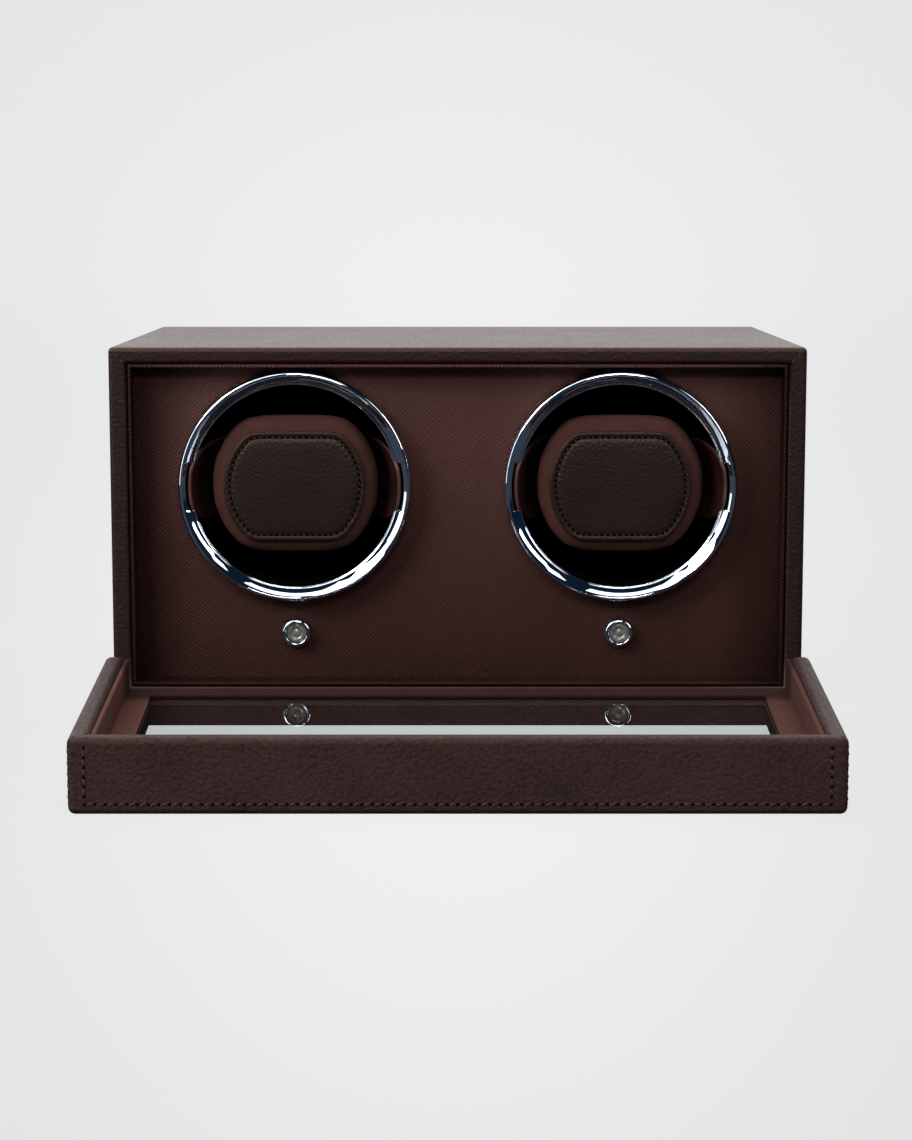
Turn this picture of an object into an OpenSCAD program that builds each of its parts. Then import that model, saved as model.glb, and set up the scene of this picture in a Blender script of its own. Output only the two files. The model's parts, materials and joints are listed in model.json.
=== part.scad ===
// Double watch winder box: a leather covered case with two turning drums,
// lying open with its hinged glass lid flat in front.
// Origin: on the floor, centred left to right, in the plane of the case's front rim.
// +X is to the right, +Y towards the back of the case, +Z up. Sizes in millimetres.

/* [Case] */
// Overall width of case and lid
box_w = 298; // [280:1:320]
// Height of the case at its front rim
box_h = 158; // [154:1:166]
// Depth of the case behind its front rim
case_d = 149; // [145:1:160]
// How far each side leans in towards the back
side_taper = 10; // [6:1:12]
// How far the top leans down towards the back
top_taper = 8; // [4:1:9]
// Width of the leather covered front rim
rim = 8; // [7:0.5:9]
// Depth from the rim back to the fascia
fascia_y = 10.5; // [10:0.5:12]

/* [Drums] */
// Distance of each drum from the middle of the case
drum_x = 70; // [66:1:74]
// Height of the drum axis
drum_z = 97.5; // [96:0.5:98]
// Outer radius of the chrome drum ring
ring_r = 50; // [49:0.5:51]
// Outer radius of the drum cup
cup_r = 47.8; // [47:0.1:47.8]
// Radius of the drum shaft
shaft_r = 4; // [3:0.5:5]

/* [Cuffs] */
// Radius of the rounded sides of the watch cushion
cushion_r = 36; // [33:0.5:37]
// Half height of the cushion between its flats
cushion_flat = 29.5; // [26:0.5:31]
// Half height of the band's two wings
wing_h = 17; // [14:0.5:17]

/* [Buttons] */
// Height of the buttons
button_z = 32.5; // [30:0.5:34]
// Travel of each push button
button_travel = 1.8; // [1:0.1:2]

/* [Lid] */
// Height of the lid lying open, measured to its rim
lid_h = 30.4; // [29.8:0.1:30.6]
// Height of the lid's inside floor
lid_floor = 16.5; // [14:0.5:17]
// Thickness of the lid's leather covered walls
lid_wall = 8; // [7:0.5:9]

/* [Hidden] */
$fn = 64;
eps = 0.5;

half_w = box_w / 2;
pad_t = 1.5;                      // felt under the case
floor_z = 10.5;                   // inside floor of the case
recess_half = half_w - rim;       // front recess that holds the tray liner
recess_top = box_h - rim + 1;
fascia_t = 3;
cavity_half = half_w - 11;        // main cavity behind the fascia
cavity_top = box_h - 9.7;
back_half = half_w - side_taper;
back_top = box_h - top_taper;
wall_back = 8;                    // wall thickness at the back
batten_x = [-123, 123];
batten_half = 6;
batten_z = [floor_z + batten_half, back_top - 14.5];
batten_l = 14;
cover_t = 3;
cover_y = case_d - cover_t;
liner_gap = 0.4;
liner_t = 1.4;
liner_half = recess_half - liner_gap;
liner_low = floor_z + liner_gap;
liner_top = recess_top - liner_gap;
liner_proud = 0.2;

sill_d = 21;
sill_top = 7;
hinge_y = -26.8;
hinge_z = 4;
hinge_x = 100;
hinge_w = 40;
leaf_t = 1.6;
knuckle_r = 3;
pin_r = 1.2;
leaf_reach = 16;
magnet_x = 60;
magnet_r = 2.4;
magnet_t = 2.4;

lid_l = 150;                      // from the hinged end to the free end
lid_back = hinge_y - hinge_z;     // the lid's hinged end, lying open
lid_front = lid_back - lid_l;
lining_t = 2;
lining_rim = lid_h - 1.2;
shell_floor = lid_floor - lining_t;
window_half = half_w - 20;
window_back = lid_back - 14;
window_front = lid_front + 20;
rebate = 4;                       // how far the glass runs under the lining
glass_t = 2.5;
gasket_t = 0.5;
magnet_z = hinge_z + hinge_y - lid_front - lid_wall / 2; // meets the lid's magnets when shut

ring_front = 0.6;
ring_back = fascia_y - 0.7;
cup_front = 4.9;
cup_wall = 1.4;
cup_floor_y = 54;
hub_end = 64;
fascia_hole_r = cup_r + 0.8;
wing_r = cup_r - cup_wall - 0.3;  // outer radius of the wings
wing_t = 2.2;
wing_lean = 12;                   // how much nearer the axis the wings are at the back
band_front = 1.8;
band_back = 50;
band_t = 2;
tip_h = wing_h - 7;               // half height of the wings' tips
tip_y = band_front + 11;          // where the tips start to widen, already inside the ring's lip
shoulder_y = tip_y + 9;           // where the wings reach their full height
cushion_front = 4.2;
cushion_back = 46;
cushion_shoulder = 14;            // where the cushion starts to narrow towards the back
cushion_lean = 5;                 // how much its radius and flats lose by the back
patch_t = 1.5;
core_half = 12;

plate_y = 66.4;
plate_t = 6;
plate_back = plate_y + plate_t;
plate_half = 130;
plate_top = 140;
bush_r = 7;
bush_clear = 0.06;
gear_y = 82;
gear_w = 6;
gear_module = 0.8;
gear_teeth = 60;
pinion_teeth = 20;
backlash = 0.16;
gear_r = gear_module * gear_teeth / 2;
pinion_r = gear_module * pinion_teeth / 2;
motor_z = drum_z - gear_r - pinion_r;
mount_y = 92;
mount_t = 2;
motor_y = mount_y + mount_t;
motor_shaft_r = 2;
standoff_x = 26;
standoff_z = 14;

board_half = 30;
board_low = 18;
board_high = 62;
board_y = plate_back + 6;
board_t = 1.6;
screw_r = 1.4;
screw_l = 6;
screw_head_r = 2.8;
screw_head_t = 1.8;
bracket_half = 9;
bracket_t = 1.5;
bracket_reach = 18;
bracket_hole = 10;                // from the plate's foot to each bracket screw

jack_z = 24;
jack_bore_r = 1.8;
jack_bore_l = 10;
jack_r = 5.5;
jack_back = case_d + 1.5;
jack_front = jack_back - 14;

collar_r = 6.3;
collar_neck_r = 4.9;
collar_bore_r = 4.3;
collar_front = 6;
collar_back = 22;
button_r = 4.22;
button_front = 6.6;
button_back = 13;
stem_r = 1.2;
switch_front = collar_back;
switch_back = 36;

leather = [0.20, 0.15, 0.14];
saffiano = [0.25, 0.16, 0.15];
suede = [0.36, 0.24, 0.21];
black_plastic = [0.06, 0.06, 0.06];
chrome = [0.82, 0.83, 0.85];
steel = [0.66, 0.67, 0.69];
brass_colour = [0.76, 0.60, 0.30];
board_green = [0.10, 0.34, 0.18];
wood_colour = [0.62, 0.48, 0.32];

// ---------- helpers ----------

// A box between two corners
module block(low, high) {
    translate(low) cube(high - low);
}

// A round bar along Y
module bar_y(x, z, y0, y1, r) {
    translate([x, y0, z]) rotate([-90, 0, 0]) cylinder(h = y1 - y0, r = r);
}

// A round bar along X
module bar_x(y, z, x0, x1, r) {
    translate([x0, y, z]) rotate([0, 90, 0]) cylinder(h = x1 - x0, r = r);
}

// A round bar along Z
module bar_z(x, y, z0, z1, r) {
    translate([x, y, z0]) cylinder(h = z1 - z0, r = r);
}

// A tube along Y
module tube_y(x, z, y0, y1, r_out, r_in) {
    difference() {
        bar_y(x, z, y0, y1, r_out);
        bar_y(x, z, y0 - eps, y1 + eps, r_in);
    }
}

// Children once at each drum position
module both_drums() {
    for (side = [-1, 1]) translate([side * drum_x, 0, 0]) children();
}

// A disc seen from the front, cut flat above and below
module flatted_disc(r, flat, y0, y1) {
    intersection() {
        bar_y(0, drum_z, y0, y1, r);
        block([-r - eps, y0 - eps, drum_z - flat], [r + eps, y1 + eps, drum_z + flat]);
    }
}

// Machine screw with its head at the low Y end, pointing to +Y
module screw_y(x, y, z) {
    bar_y(x, z, y - screw_head_t, y, screw_head_r);
    bar_y(x, z, y - 0.01, y + screw_l, screw_r);
}

// Machine screw with its head at the high Y end, pointing to -Y
module screw_back_y(x, y, z) {
    bar_y(x, z, y, y + screw_head_t, screw_head_r);
    bar_y(x, z, y - screw_l, y + 0.01, screw_r);
}

// ---------- case ----------

// Upright plate with rounded top corners, used at both ends of the case's outside
module case_end(half, top, y) {
    corner = 3;
    for (side = [-1, 1]) {
        translate([side * (half - corner), y, top - corner]) rotate([-90, 0, 0])
            cylinder(h = 0.1, r = corner, $fn = 32);
        translate([side * (half - corner), y, pad_t + corner]) rotate([-90, 0, 0])
            cylinder(h = 0.1, r = corner, $fn = 32);
    }
}

module case_outside() {
    edge = 2;
    hull() {
        case_end(half_w - edge / 2, box_h - edge / 2, 0);
        case_end(half_w, box_h, edge);
        case_end(back_half, back_top, case_d - 0.1);
    }
}

module case_cavity() {
    back_inner = back_half - wall_back;
    hull() {
        block([-cavity_half, fascia_y + 3, floor_z], [cavity_half, fascia_y + 3.1, cavity_top]);
        block([-back_inner, case_d + 1, floor_z], [back_inner, case_d + 1.1, back_top - wall_back]);
    }
}

module case_shell() {
    color(leather) difference() {
        case_outside();
        case_cavity();
        block([-recess_half, -1, floor_z], [recess_half, fascia_y + fascia_t, recess_top]);
        for (side = [-1, 1])
            bar_y(side * magnet_x, magnet_z, -1, magnet_t + 0.5, magnet_r);
        for (side = [-1, 1])
            bar_z(side * hinge_x, plate_back + bracket_hole, floor_z - screw_l + 1, floor_z + 1, screw_r);
    }
}

// Ledge in front of the case that carries the hinges and fills in under the closed lid
module front_sill() {
    color(leather) difference() {
        block([-half_w + 9, -sill_d, pad_t], [half_w - 9, 0, sill_top]);
        for (side = [-1, 1]) leaf_slot(side, hinge_y + 4, hinge_y + leaf_reach + 0.1);
    }
}

module base_pad() {
    color(black_plastic)
        block([-half_w + 12, -sill_d + 3, 0], [half_w - 12, case_d - 10, pad_t]);
}

// Four walls and a lip lining the recess in front of the fascia
module tray_liner() {
    color(saffiano) difference() {
        block([-liner_half, -liner_proud, liner_low], [liner_half, fascia_y, liner_top]);
        block([-liner_half + liner_t, -2, liner_low + liner_t],
              [liner_half - liner_t, fascia_y + 1, liner_top - liner_t]);
    }
}

module fascia_panel() {
    color(saffiano) difference() {
        block([-liner_half, fascia_y, liner_low], [liner_half, fascia_y + fascia_t, liner_top]);
        both_drums() {
            bar_y(0, drum_z, fascia_y - 1, fascia_y + fascia_t + 1, fascia_hole_r);
            bar_y(0, button_z, fascia_y - 1, fascia_y + fascia_t + 1, collar_neck_r + 0.1);
            bar_y(0, drum_z - ring_r - 1.3, fascia_y - 1, fascia_y + 2, 0.5);
        }
    }
}

// Small metal marks in the fascia just below each drum, showing its top-dead-centre
module index_pins() {
    color(chrome) both_drums() bar_y(0, drum_z - ring_r - 1.3, fascia_y - 0.4, fascia_y + 2, 0.5);
}

module rear_cover() {
    cover_half = back_half - wall_back - 0.5;
    cover_top = back_top - wall_back - 0.5;
    color(leather) difference() {
        block([-cover_half, cover_y, floor_z + 0.3], [cover_half, case_d, cover_top]);
        for (x = batten_x, z = batten_z) bar_y(x, z, cover_y - 1, case_d + 1, 1.6);
        bar_y(0, jack_z, cover_y - 1, case_d + 1, jack_r + 0.05);
    }
}

// Wooden blocks in the corners of the case that the rear cover screws into
module rear_battens() {
    color(wood_colour) for (x = batten_x, z = batten_z) difference() {
        block([x - batten_half, cover_y - batten_l, max(floor_z, z - batten_half)],
              [x + batten_half, cover_y, z + batten_half - 0.5]);
        bar_y(x, z, cover_y - 11, cover_y + 1, 1.5);
    }
}

module rear_screws() {
    color(steel) for (x = batten_x, z = batten_z) {
        bar_y(x, z, case_d, case_d + 1.5, 3);
        bar_y(x, z, cover_y - 9, case_d + 0.01, 1.45);
    }
}

module case_magnets() {
    color(steel) for (side = [-1, 1])
        bar_y(side * magnet_x, magnet_z, 0.5, 0.5 + magnet_t, magnet_r - 0.02);
}

// ---------- hinges ----------

// Pocket for a flat hinge leaf
module leaf_slot(side, y0, y1) {
    slot_t = leaf_t + 0.1;
    slot_w = hinge_w + 0.2;
    block([side * hinge_x - slot_w / 2, y0, hinge_z - slot_t / 2],
          [side * hinge_x + slot_w / 2, y1, hinge_z + slot_t / 2]);
}

// Edges along X of the five knuckles, from the hinge's middle
function knuckle_from(i) = -hinge_w / 2 + i * hinge_w / 5 + 0.15;
function knuckle_to(i) = -hinge_w / 2 + (i + 1) * hinge_w / 5 - 0.15;

// A hinge leaf with the knuckles listed, its plate reaching towards dir along Y
module hinge_leaf(side, knuckles, dir, bore) {
    plate_from = 4.2;
    translate([side * hinge_x, 0, 0]) difference() {
        union() {
            block([-hinge_w / 2, min(dir * plate_from, dir * leaf_reach) + hinge_y, hinge_z - leaf_t / 2],
                  [hinge_w / 2, max(dir * plate_from, dir * leaf_reach) + hinge_y, hinge_z + leaf_t / 2]);
            for (i = knuckles) {
                bar_x(hinge_y, hinge_z, knuckle_from(i), knuckle_to(i), knuckle_r);
                block([knuckle_from(i), min(0, dir * 5) + hinge_y, hinge_z - leaf_t / 2],
                      [knuckle_to(i), max(0, dir * 5) + hinge_y, hinge_z + leaf_t / 2]);
            }
        }
        bar_x(hinge_y, hinge_z, -hinge_w, hinge_w, bore);
    }
}

module case_hinge_leaves() {
    color(steel) for (side = [-1, 1]) hinge_leaf(side, [0, 2, 4], 1, pin_r + 0.02);
}

module lid_hinge_leaves() {
    color(steel) for (side = [-1, 1]) hinge_leaf(side, [1, 3], -1, pin_r + 0.06);
}

module hinge_pins() {
    color(steel) for (side = [-1, 1])
        bar_x(hinge_y, hinge_z, side * hinge_x - hinge_w / 2, side * hinge_x + hinge_w / 2, pin_r);
}

// ---------- mechanism fixed to the case ----------

function mount_points() = [for (sx = [-1, 1], sz = [-1, 1]) [sx * standoff_x, motor_z + sz * standoff_z]];
function board_points() = [for (x = [-25, 25], z = [23, 57]) [x, z]];

module chassis_plate() {
    color(wood_colour) difference() {
        block([-plate_half, plate_y, floor_z], [plate_half, plate_back, plate_top]);
        both_drums() {
            bar_y(0, drum_z, plate_y - 1, plate_back + 1, bush_r + 0.02);
            for (p = mount_points()) bar_y(p[0], p[1], plate_y - 1, plate_back + 1, screw_r + 0.1);
        }
        for (p = board_points()) bar_y(p[0], p[1], plate_y - 1, plate_back + 1, screw_r + 0.1);
        for (side = [-1, 1])
            bar_y(side * hinge_x, floor_z + bracket_hole, plate_back - 5, plate_back + 1, screw_r + 0.02);
    }
}

// Steel angles that stand the chassis plate on the case floor
module chassis_brackets() {
    hole_r = screw_r + 0.1;
    foot_back = plate_back + bracket_reach;
    color(steel) for (side = [-1, 1]) translate([side * hinge_x, 0, 0]) difference() {
        union() {
            block([-bracket_half, plate_back, floor_z],
                  [bracket_half, plate_back + bracket_t, floor_z + bracket_reach]);
            block([-bracket_half, plate_back, floor_z], [bracket_half, foot_back, floor_z + bracket_t]);
        }
        bar_y(0, floor_z + bracket_hole, plate_back - 1, plate_back + bracket_t + 1, hole_r);
        bar_z(0, plate_back + bracket_hole, floor_z - 1, floor_z + bracket_t + 1, hole_r);
    }
}

// All the identical small screws of the mechanism
module machine_screws() {
    bracket_top = floor_z + bracket_t;
    color(steel) {
        both_drums() for (p = mount_points()) {
            screw_y(p[0], plate_y, p[1]);
            screw_back_y(p[0], motor_y, p[1]);
        }
        for (p = board_points()) screw_back_y(p[0], board_y + board_t, p[1]);
        for (side = [-1, 1]) {
            screw_back_y(side * hinge_x, plate_back + bracket_t, floor_z + bracket_hole);
            screw_y_place = plate_back + bracket_hole;
            bar_z(side * hinge_x, screw_y_place, bracket_top, bracket_top + screw_head_t, screw_head_r);
            bar_z(side * hinge_x, screw_y_place, bracket_top - screw_l, bracket_top + 0.01, screw_r - 0.02);
        }
    }
}

// Flanged bronze bushes that carry the drum shafts
module drum_bushes() {
    color(brass_colour) both_drums() difference() {
        union() {
            bar_y(0, drum_z, plate_y, gear_y - 2, bush_r);
            bar_y(0, drum_z, plate_y - 2, plate_y, bush_r + 3);
        }
        bar_y(0, drum_z, plate_y - 3, gear_y, shaft_r + bush_clear);
    }
}

// Gear motors: a flat gearbox with the slimmer motor can behind it
module motors() {
    color(steel) both_drums() difference() {
        union() {
            bar_y(0, motor_z, motor_y, motor_y + 14, 17);
            bar_y(0, motor_z, motor_y + 13, motor_y + 34, 11.5);
            for (side = [-1, 1])
                block([side * 5 - 1.2, motor_y + 33, motor_z - 0.3],
                      [side * 5 + 1.2, motor_y + 37, motor_z + 0.3]);
        }
        bar_y(0, motor_z, motor_y - 1, motor_y + 10, motor_shaft_r + bush_clear);
        for (side = [-1, 1]) bar_y(side * 12, motor_z, motor_y - 1, motor_y + 6, screw_r + 0.05);
    }
}

module motor_mounts() {
    color(steel) both_drums() difference() {
        block([-standoff_x - 5, mount_y, motor_z - standoff_z - 5],
              [standoff_x + 5, motor_y, motor_z + standoff_z + 5]);
        bar_y(0, motor_z, mount_y - 1, motor_y + 1, 4);
        for (p = mount_points()) bar_y(p[0], p[1], mount_y - 1, motor_y + 1, screw_r + 0.1);
    }
}

module motor_standoffs() {
    color(brass_colour) both_drums() for (p = mount_points())
        tube_y(p[0], p[1], plate_back, mount_y, 2.6, screw_r + 0.02);
}

module control_board() {
    color(board_green) difference() {
        block([-board_half, board_y, board_low], [board_half, board_y + board_t, board_high]);
        for (p = board_points()) bar_y(p[0], p[1], board_y - 1, board_y + board_t + 1, screw_r + 0.1);
    }
}

// Controller chip, capacitor, relay block and the row of cable sockets
module board_parts() {
    top = board_y + board_t;
    color(black_plastic) {
        block([-7, top, 36], [7, top + 2, 46]);
        bar_y(15, 34, top, top + 10, 4);
        block([-19, top, 30], [-11, top + 6, 42]);
        for (x = [-12, 0, 12]) block([x - 4, top, 50], [x + 4, top + 5, 55]);
    }
}

module board_standoffs() {
    color(brass_colour) for (p = board_points())
        tube_y(p[0], p[1], plate_back, board_y, 2.6, screw_r + 0.02);
}

// Power socket in the rear cover, with a plain bore open to the back
module dc_jack() {
    color(black_plastic) difference() {
        union() {
            bar_y(0, jack_z, jack_front, case_d, jack_r);
            bar_y(0, jack_z, case_d, jack_back, jack_r + 2);
        }
        bar_y(0, jack_z, jack_back - jack_bore_l, jack_back + 1, jack_bore_r);
    }
}

module jack_nut() {
    color(steel) difference() {
        translate([0, cover_y - 3, jack_z]) rotate([-90, 0, 0]) cylinder(h = 3, r = 8.5, $fn = 6);
        bar_y(0, jack_z, cover_y - 4, cover_y + 1, jack_r + 0.02);
    }
}

function unit(v) = v / norm(v);

// Direction of a path at its point i, halfway between the two runs that meet there
function heading(path, i) =
    let (into = unit(path[i] - path[max(i - 1, 0)] + (i == 0 ? path[1] - path[0] : [0, 0, 0])))
    let (out = i == len(path) - 1 ? into : unit(path[i + 1] - path[i]))
    unit(into + out);

// One insulated wire along a path that nowhere runs straight up
module wire(path) {
    sides = 10;
    r = 0.7;
    last = len(path) - 1;
    function ring_at(i) = [for (k = [0 : sides - 1])
        let (along = heading(path, i))
        let (level = unit(cross(along, [0, 0, 1])))
        path[i] + r * (cos(k * 360 / sides) * level + sin(k * 360 / sides) * cross(level, along))];
    walls = [for (i = [0 : last - 1], k = [0 : sides - 1])
        [i * sides + k, (i + 1) * sides + k, (i + 1) * sides + (k + 1) % sides, i * sides + (k + 1) % sides]];
    ends = [[for (k = [0 : sides - 1]) k], [for (k = [sides - 1 : -1 : 0]) last * sides + k]];
    polyhedron(points = [for (i = [0 : last]) each ring_at(i)], faces = concat(walls, ends));
}

// Supply wires from the socket to the board, and a pair from the board to each motor
module wiring() {
    socket_y = board_y + board_t + 5.2;
    socket_z = 52.5;
    socket_x = 12;
    pair = 1.6;
    terminal_z = motor_z - 1.2;
    terminal_y = motor_y + 35;
    color([0.55, 0.08, 0.07]) {
        for (x = [-pair, pair])
            wire([[x, jack_front - 0.2, jack_z], [x, 120, jack_z], [x, 100, socket_z],
                  [x, socket_y, socket_z]]);
        for (side = [-1, 1], outer = [0, 1]) {
            start_x = side * (socket_x + pair - 2 * pair * outer);
            end_x = side * (drum_x - 5 + 10 * outer);
            turn_y = terminal_y + 7 + 8 * outer;
            wire([[start_x, socket_y, socket_z], [start_x, 104, socket_z], [end_x, turn_y, terminal_z],
                  [end_x, terminal_y, terminal_z]]);
        }
    }
}

module button_collars() {
    color(chrome) both_drums() difference() {
        union() {
            translate([0, collar_front, button_z]) rotate([-90, 0, 0]) rotate_extrude() polygon([
                [0, 0], [collar_r - 1, 0], [collar_r - 0.3, 0.3], [collar_r, 1],
                [collar_r, fascia_y - collar_front], [0, fascia_y - collar_front]]);
            bar_y(0, button_z, fascia_y - 0.1, collar_back, collar_neck_r);
        }
        bar_y(0, button_z, collar_front - 1, collar_back + 1, collar_bore_r);
    }
}

module button_nuts() {
    color(steel) both_drums() difference() {
        translate([0, fascia_y + fascia_t, button_z]) rotate([-90, 0, 0]) cylinder(h = 2.5, r = 7.5, $fn = 6);
        bar_y(0, button_z, fascia_y, fascia_y + 8, collar_neck_r + 0.05);
    }
}

module switch_bodies() {
    color(black_plastic) both_drums() difference() {
        block([-6.5, switch_front, button_z - 6.5], [6.5, switch_back, button_z + 6.5]);
        bar_y(0, button_z, switch_front - 1, switch_back - 2, stem_r + 0.08);
    }
}

// ---------- drums ----------

// Radius below which the mating teeth never reach, and the tooth tip
function root_r(teeth) = gear_module * (teeth / 2 - 1.2);
function tip_r(teeth) = gear_module * (teeth / 2 + 0.95);
function base_r(teeth) = gear_module * teeth / 2 * cos(20);
// Involute angle in degrees at radius r
function involute(r, base) = r <= base ? 0 : tan(acos(base / r)) * 180 / PI - acos(base / r);
// Half the angle of a tooth at radius r, thinned for backlash
function half_tooth(r, teeth) =
    90 / teeth - backlash / (gear_module * teeth / 2) * 90 / PI
    + involute(gear_module * teeth / 2, base_r(teeth)) - involute(r, base_r(teeth));

function flank(teeth) = [root_r(teeth), base_r(teeth), gear_module * teeth / 2, tip_r(teeth)];

function gear_outline(teeth, start) = [
    for (i = [0 : teeth - 1])
        for (j = [0 : 7])
            let (r = j < 4 ? flank(teeth)[j] : flank(teeth)[7 - j])
            let (side = j < 4 ? -1 : 1)
            let (a = start + i * 360 / teeth + side * half_tooth(r, teeth))
            [r * cos(a), r * sin(a)]
];

// Spur gear with its axis along Y and one tooth at angle start, measured from +X towards +Z
module spur_gear(x, z, y0, width, teeth, start, bore) {
    difference() {
        translate([x, y0 + width, z]) rotate([90, 0, 0])
            linear_extrude(height = width) polygon(gear_outline(teeth, start));
        bar_y(x, z, y0 - 1, y0 + width + 1, bore);
    }
}

// Turned cup with a hub behind it that grips the shaft
module drum_cup(side) {
    inner_r = cup_r - cup_wall;
    color(black_plastic) translate([side * drum_x, 0, 0]) difference() {
        union() {
            bar_y(0, drum_z, cup_front, cup_floor_y + 2, cup_r);
            bar_y(0, drum_z, cup_floor_y + 1, hub_end, 9);
        }
        difference() {
            bar_y(0, drum_z, cup_front - 1, cup_floor_y, inner_r);
            tube_y(0, drum_z, band_back, cup_floor_y + 1, 20, 17);
        }
        bar_y(0, drum_z, cup_floor_y - 1, hub_end + 1, shaft_r + 0.02);
    }
}

// Chrome ring on the mouth of the cup, notched at both sides for the cuff's wings
module drum_ring(side) {
    lip_r = ring_r - 6.1;
    color(chrome) translate([side * drum_x, 0, 0]) difference() {
        translate([0, 0, drum_z]) rotate([-90, 0, 0]) rotate_extrude() polygon(concat(
            [for (a = [0 : 15 : 90]) [ring_r - 2.2 + 2.2 * sin(a), ring_front + 2.8 - 2.8 * cos(a)]],
            [[ring_r, ring_back], [cup_r + 0.1, ring_back], [cup_r + 0.1, cup_front - 0.1],
             [lip_r, cup_front - 0.1], [lip_r, cup_front - 1.1], [lip_r + 0.9, cup_front - 1.7],
             [lip_r + 1.9, ring_front + 1.5]]));
        intersection() {
            bar_y(0, drum_z, -1, cup_front + 1, wing_r + 0.3);
            block([-ring_r, -2, drum_z - tip_h - 0.3], [ring_r, cup_front + 2, drum_z + tip_h + 0.3]);
        }
    }
}

module drum_shaft(side) {
    color(steel) bar_y(side * drum_x, drum_z, cup_floor_y, gear_y + gear_w + 1.5, shaft_r);
}

module drum_gear(side) {
    color([0.85, 0.85, 0.80]) spur_gear(side * drum_x, drum_z, gear_y, gear_w, gear_teeth, -90, shaft_r + 0.02);
}

module pinion(side) {
    color(brass_colour) spur_gear(side * drum_x, motor_z, gear_y - 1, gear_w + 2, pinion_teeth,
        90 + 180 / pinion_teeth, motor_shaft_r + 0.02);
}

module motor_shaft(side) {
    color(steel) bar_y(side * drum_x, motor_z, gear_y - 2, motor_y + 9, motor_shaft_r);
}

// ---------- cuffs ----------

// A cone along Y that loses wing_lean of its radius between the two depths
module wing_cone(y0, y1, r) {
    translate([0, y0, drum_z]) rotate([-90, 0, 0]) cylinder(h = y1 - y0, r1 = r, r2 = r - wing_lean);
}

// Side outline of the wings: narrow tips in the ring's notches, full height deeper in the drum
module wing_outline() {
    translate([-wing_r - 1, 0, drum_z]) rotate([90, 0, 90]) linear_extrude(height = 2 * wing_r + 2)
        polygon([[band_front - 1, -tip_h], [tip_y, -tip_h], [shoulder_y, -wing_h],
                 [band_back + 1, -wing_h], [band_back + 1, wing_h],
                 [shoulder_y, wing_h], [tip_y, tip_h], [band_front - 1, tip_h]]);
}

// U-shaped band behind the cushion whose two wings flare out to the drum's mouth
module cuff_band(side) {
    color(leather) translate([side * drum_x, 0, 0]) intersection() {
        difference() {
            wing_cone(band_front, band_back, wing_r);
            wing_cone(band_front - 0.01, band_back - band_t, wing_r - wing_t);
            block([-core_half + 2, band_back - 4, drum_z - 8], [core_half - 2, band_back + 1, drum_z + 8]);
        }
        wing_outline();
    }
}

// Stiff block that joins the cushion to the band
module cuff_core(side) {
    color(black_plastic) translate([side * drum_x, 0, 0]) {
        block([-core_half, 24, drum_z - core_half], [core_half, band_back - band_t, drum_z + core_half]);
        block([-core_half + 2.1, band_back - band_t - 0.1, drum_z - 7.9],
              [core_half - 2.1, band_back - 0.2, drum_z + 7.9]);
    }
}

// The cushion's hidden part, narrowing evenly towards the back
module cushion_taper() {
    low = cushion_flat - cushion_lean;
    intersection() {
        translate([0, cushion_shoulder - 0.01, drum_z]) rotate([-90, 0, 0])
            cylinder(h = cushion_back - cushion_shoulder + 0.01, r1 = cushion_r, r2 = cushion_r - cushion_lean);
        translate([-cushion_r, 0, drum_z]) rotate([90, 0, 90]) linear_extrude(height = 2 * cushion_r)
            polygon([[cushion_shoulder - 1, -cushion_flat], [cushion_shoulder, -cushion_flat],
                     [cushion_back, -low], [cushion_back, low],
                     [cushion_shoulder, cushion_flat], [cushion_shoulder - 1, cushion_flat]]);
    }
}

module cushion(side) {
    color(suede) translate([side * drum_x, 0, 0]) difference() {
        union() {
            flatted_disc(cushion_r, cushion_flat, cushion_front, cushion_shoulder);
            cushion_taper();
        }
        block([-core_half - 0.1, 23.9, drum_z - core_half - 0.1],
              [core_half + 0.1, cushion_back + 1, drum_z + core_half + 0.1]);
    }
}

module patch(side) {
    color(leather) translate([side * drum_x, 0, 0])
        flatted_disc(cushion_r - 5.6, cushion_flat - 5.8, cushion_front - patch_t, cushion_front);
}

// ---------- buttons ----------

module button(side) {
    color([0.75, 0.77, 0.78]) translate([side * drum_x, 0, 0]) {
        bar_y(0, button_z, button_front, button_back, button_r);
        bar_y(0, button_z, button_back - 0.1, switch_back - 2 - button_travel - 0.5, stem_r);
    }
}

// Coil spring round the button's stem
module button_spring(side) {
    turns = 5;
    steps = 12;
    sides = 6;
    coil_r = 2.3;
    wire_r = 0.32;
    low = button_back + 0.4;
    high = switch_front - 0.4;
    function ring_at(i) = [for (k = [0 : sides - 1])
        let (a = i * 360 / steps)
        let (b = k * 360 / sides)
        let (r = coil_r + wire_r * cos(b))
        [side * drum_x + r * cos(a), low + (high - low) * i / (turns * steps) + wire_r * sin(b),
         button_z + r * sin(a)]];
    last = turns * steps;
    points = [for (i = [0 : last]) each ring_at(i)];
    walls = [for (i = [0 : last - 1], k = [0 : sides - 1])
        [i * sides + k, i * sides + (k + 1) % sides, (i + 1) * sides + (k + 1) % sides, (i + 1) * sides + k]];
    ends = [[for (k = [sides - 1 : -1 : 0]) k], [for (k = [0 : sides - 1]) last * sides + k]];
    color(steel) polyhedron(points = points, faces = concat(walls, ends));
}

// ---------- lid ----------

module lid_outside() {
    edge = 2;
    corner = 3;
    hull() for (x = [-1, 1]) {
        for (y = [lid_front + corner, lid_back - corner])
            translate([x * (half_w - corner), y, edge]) cylinder(h = lid_h - 2 * edge, r = corner, $fn = 32);
        for (y = [lid_front + corner, lid_back - corner])
            translate([x * (half_w - corner), y, 0]) cylinder(h = lid_h, r = corner - 1, $fn = 32);
    }
}

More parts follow.
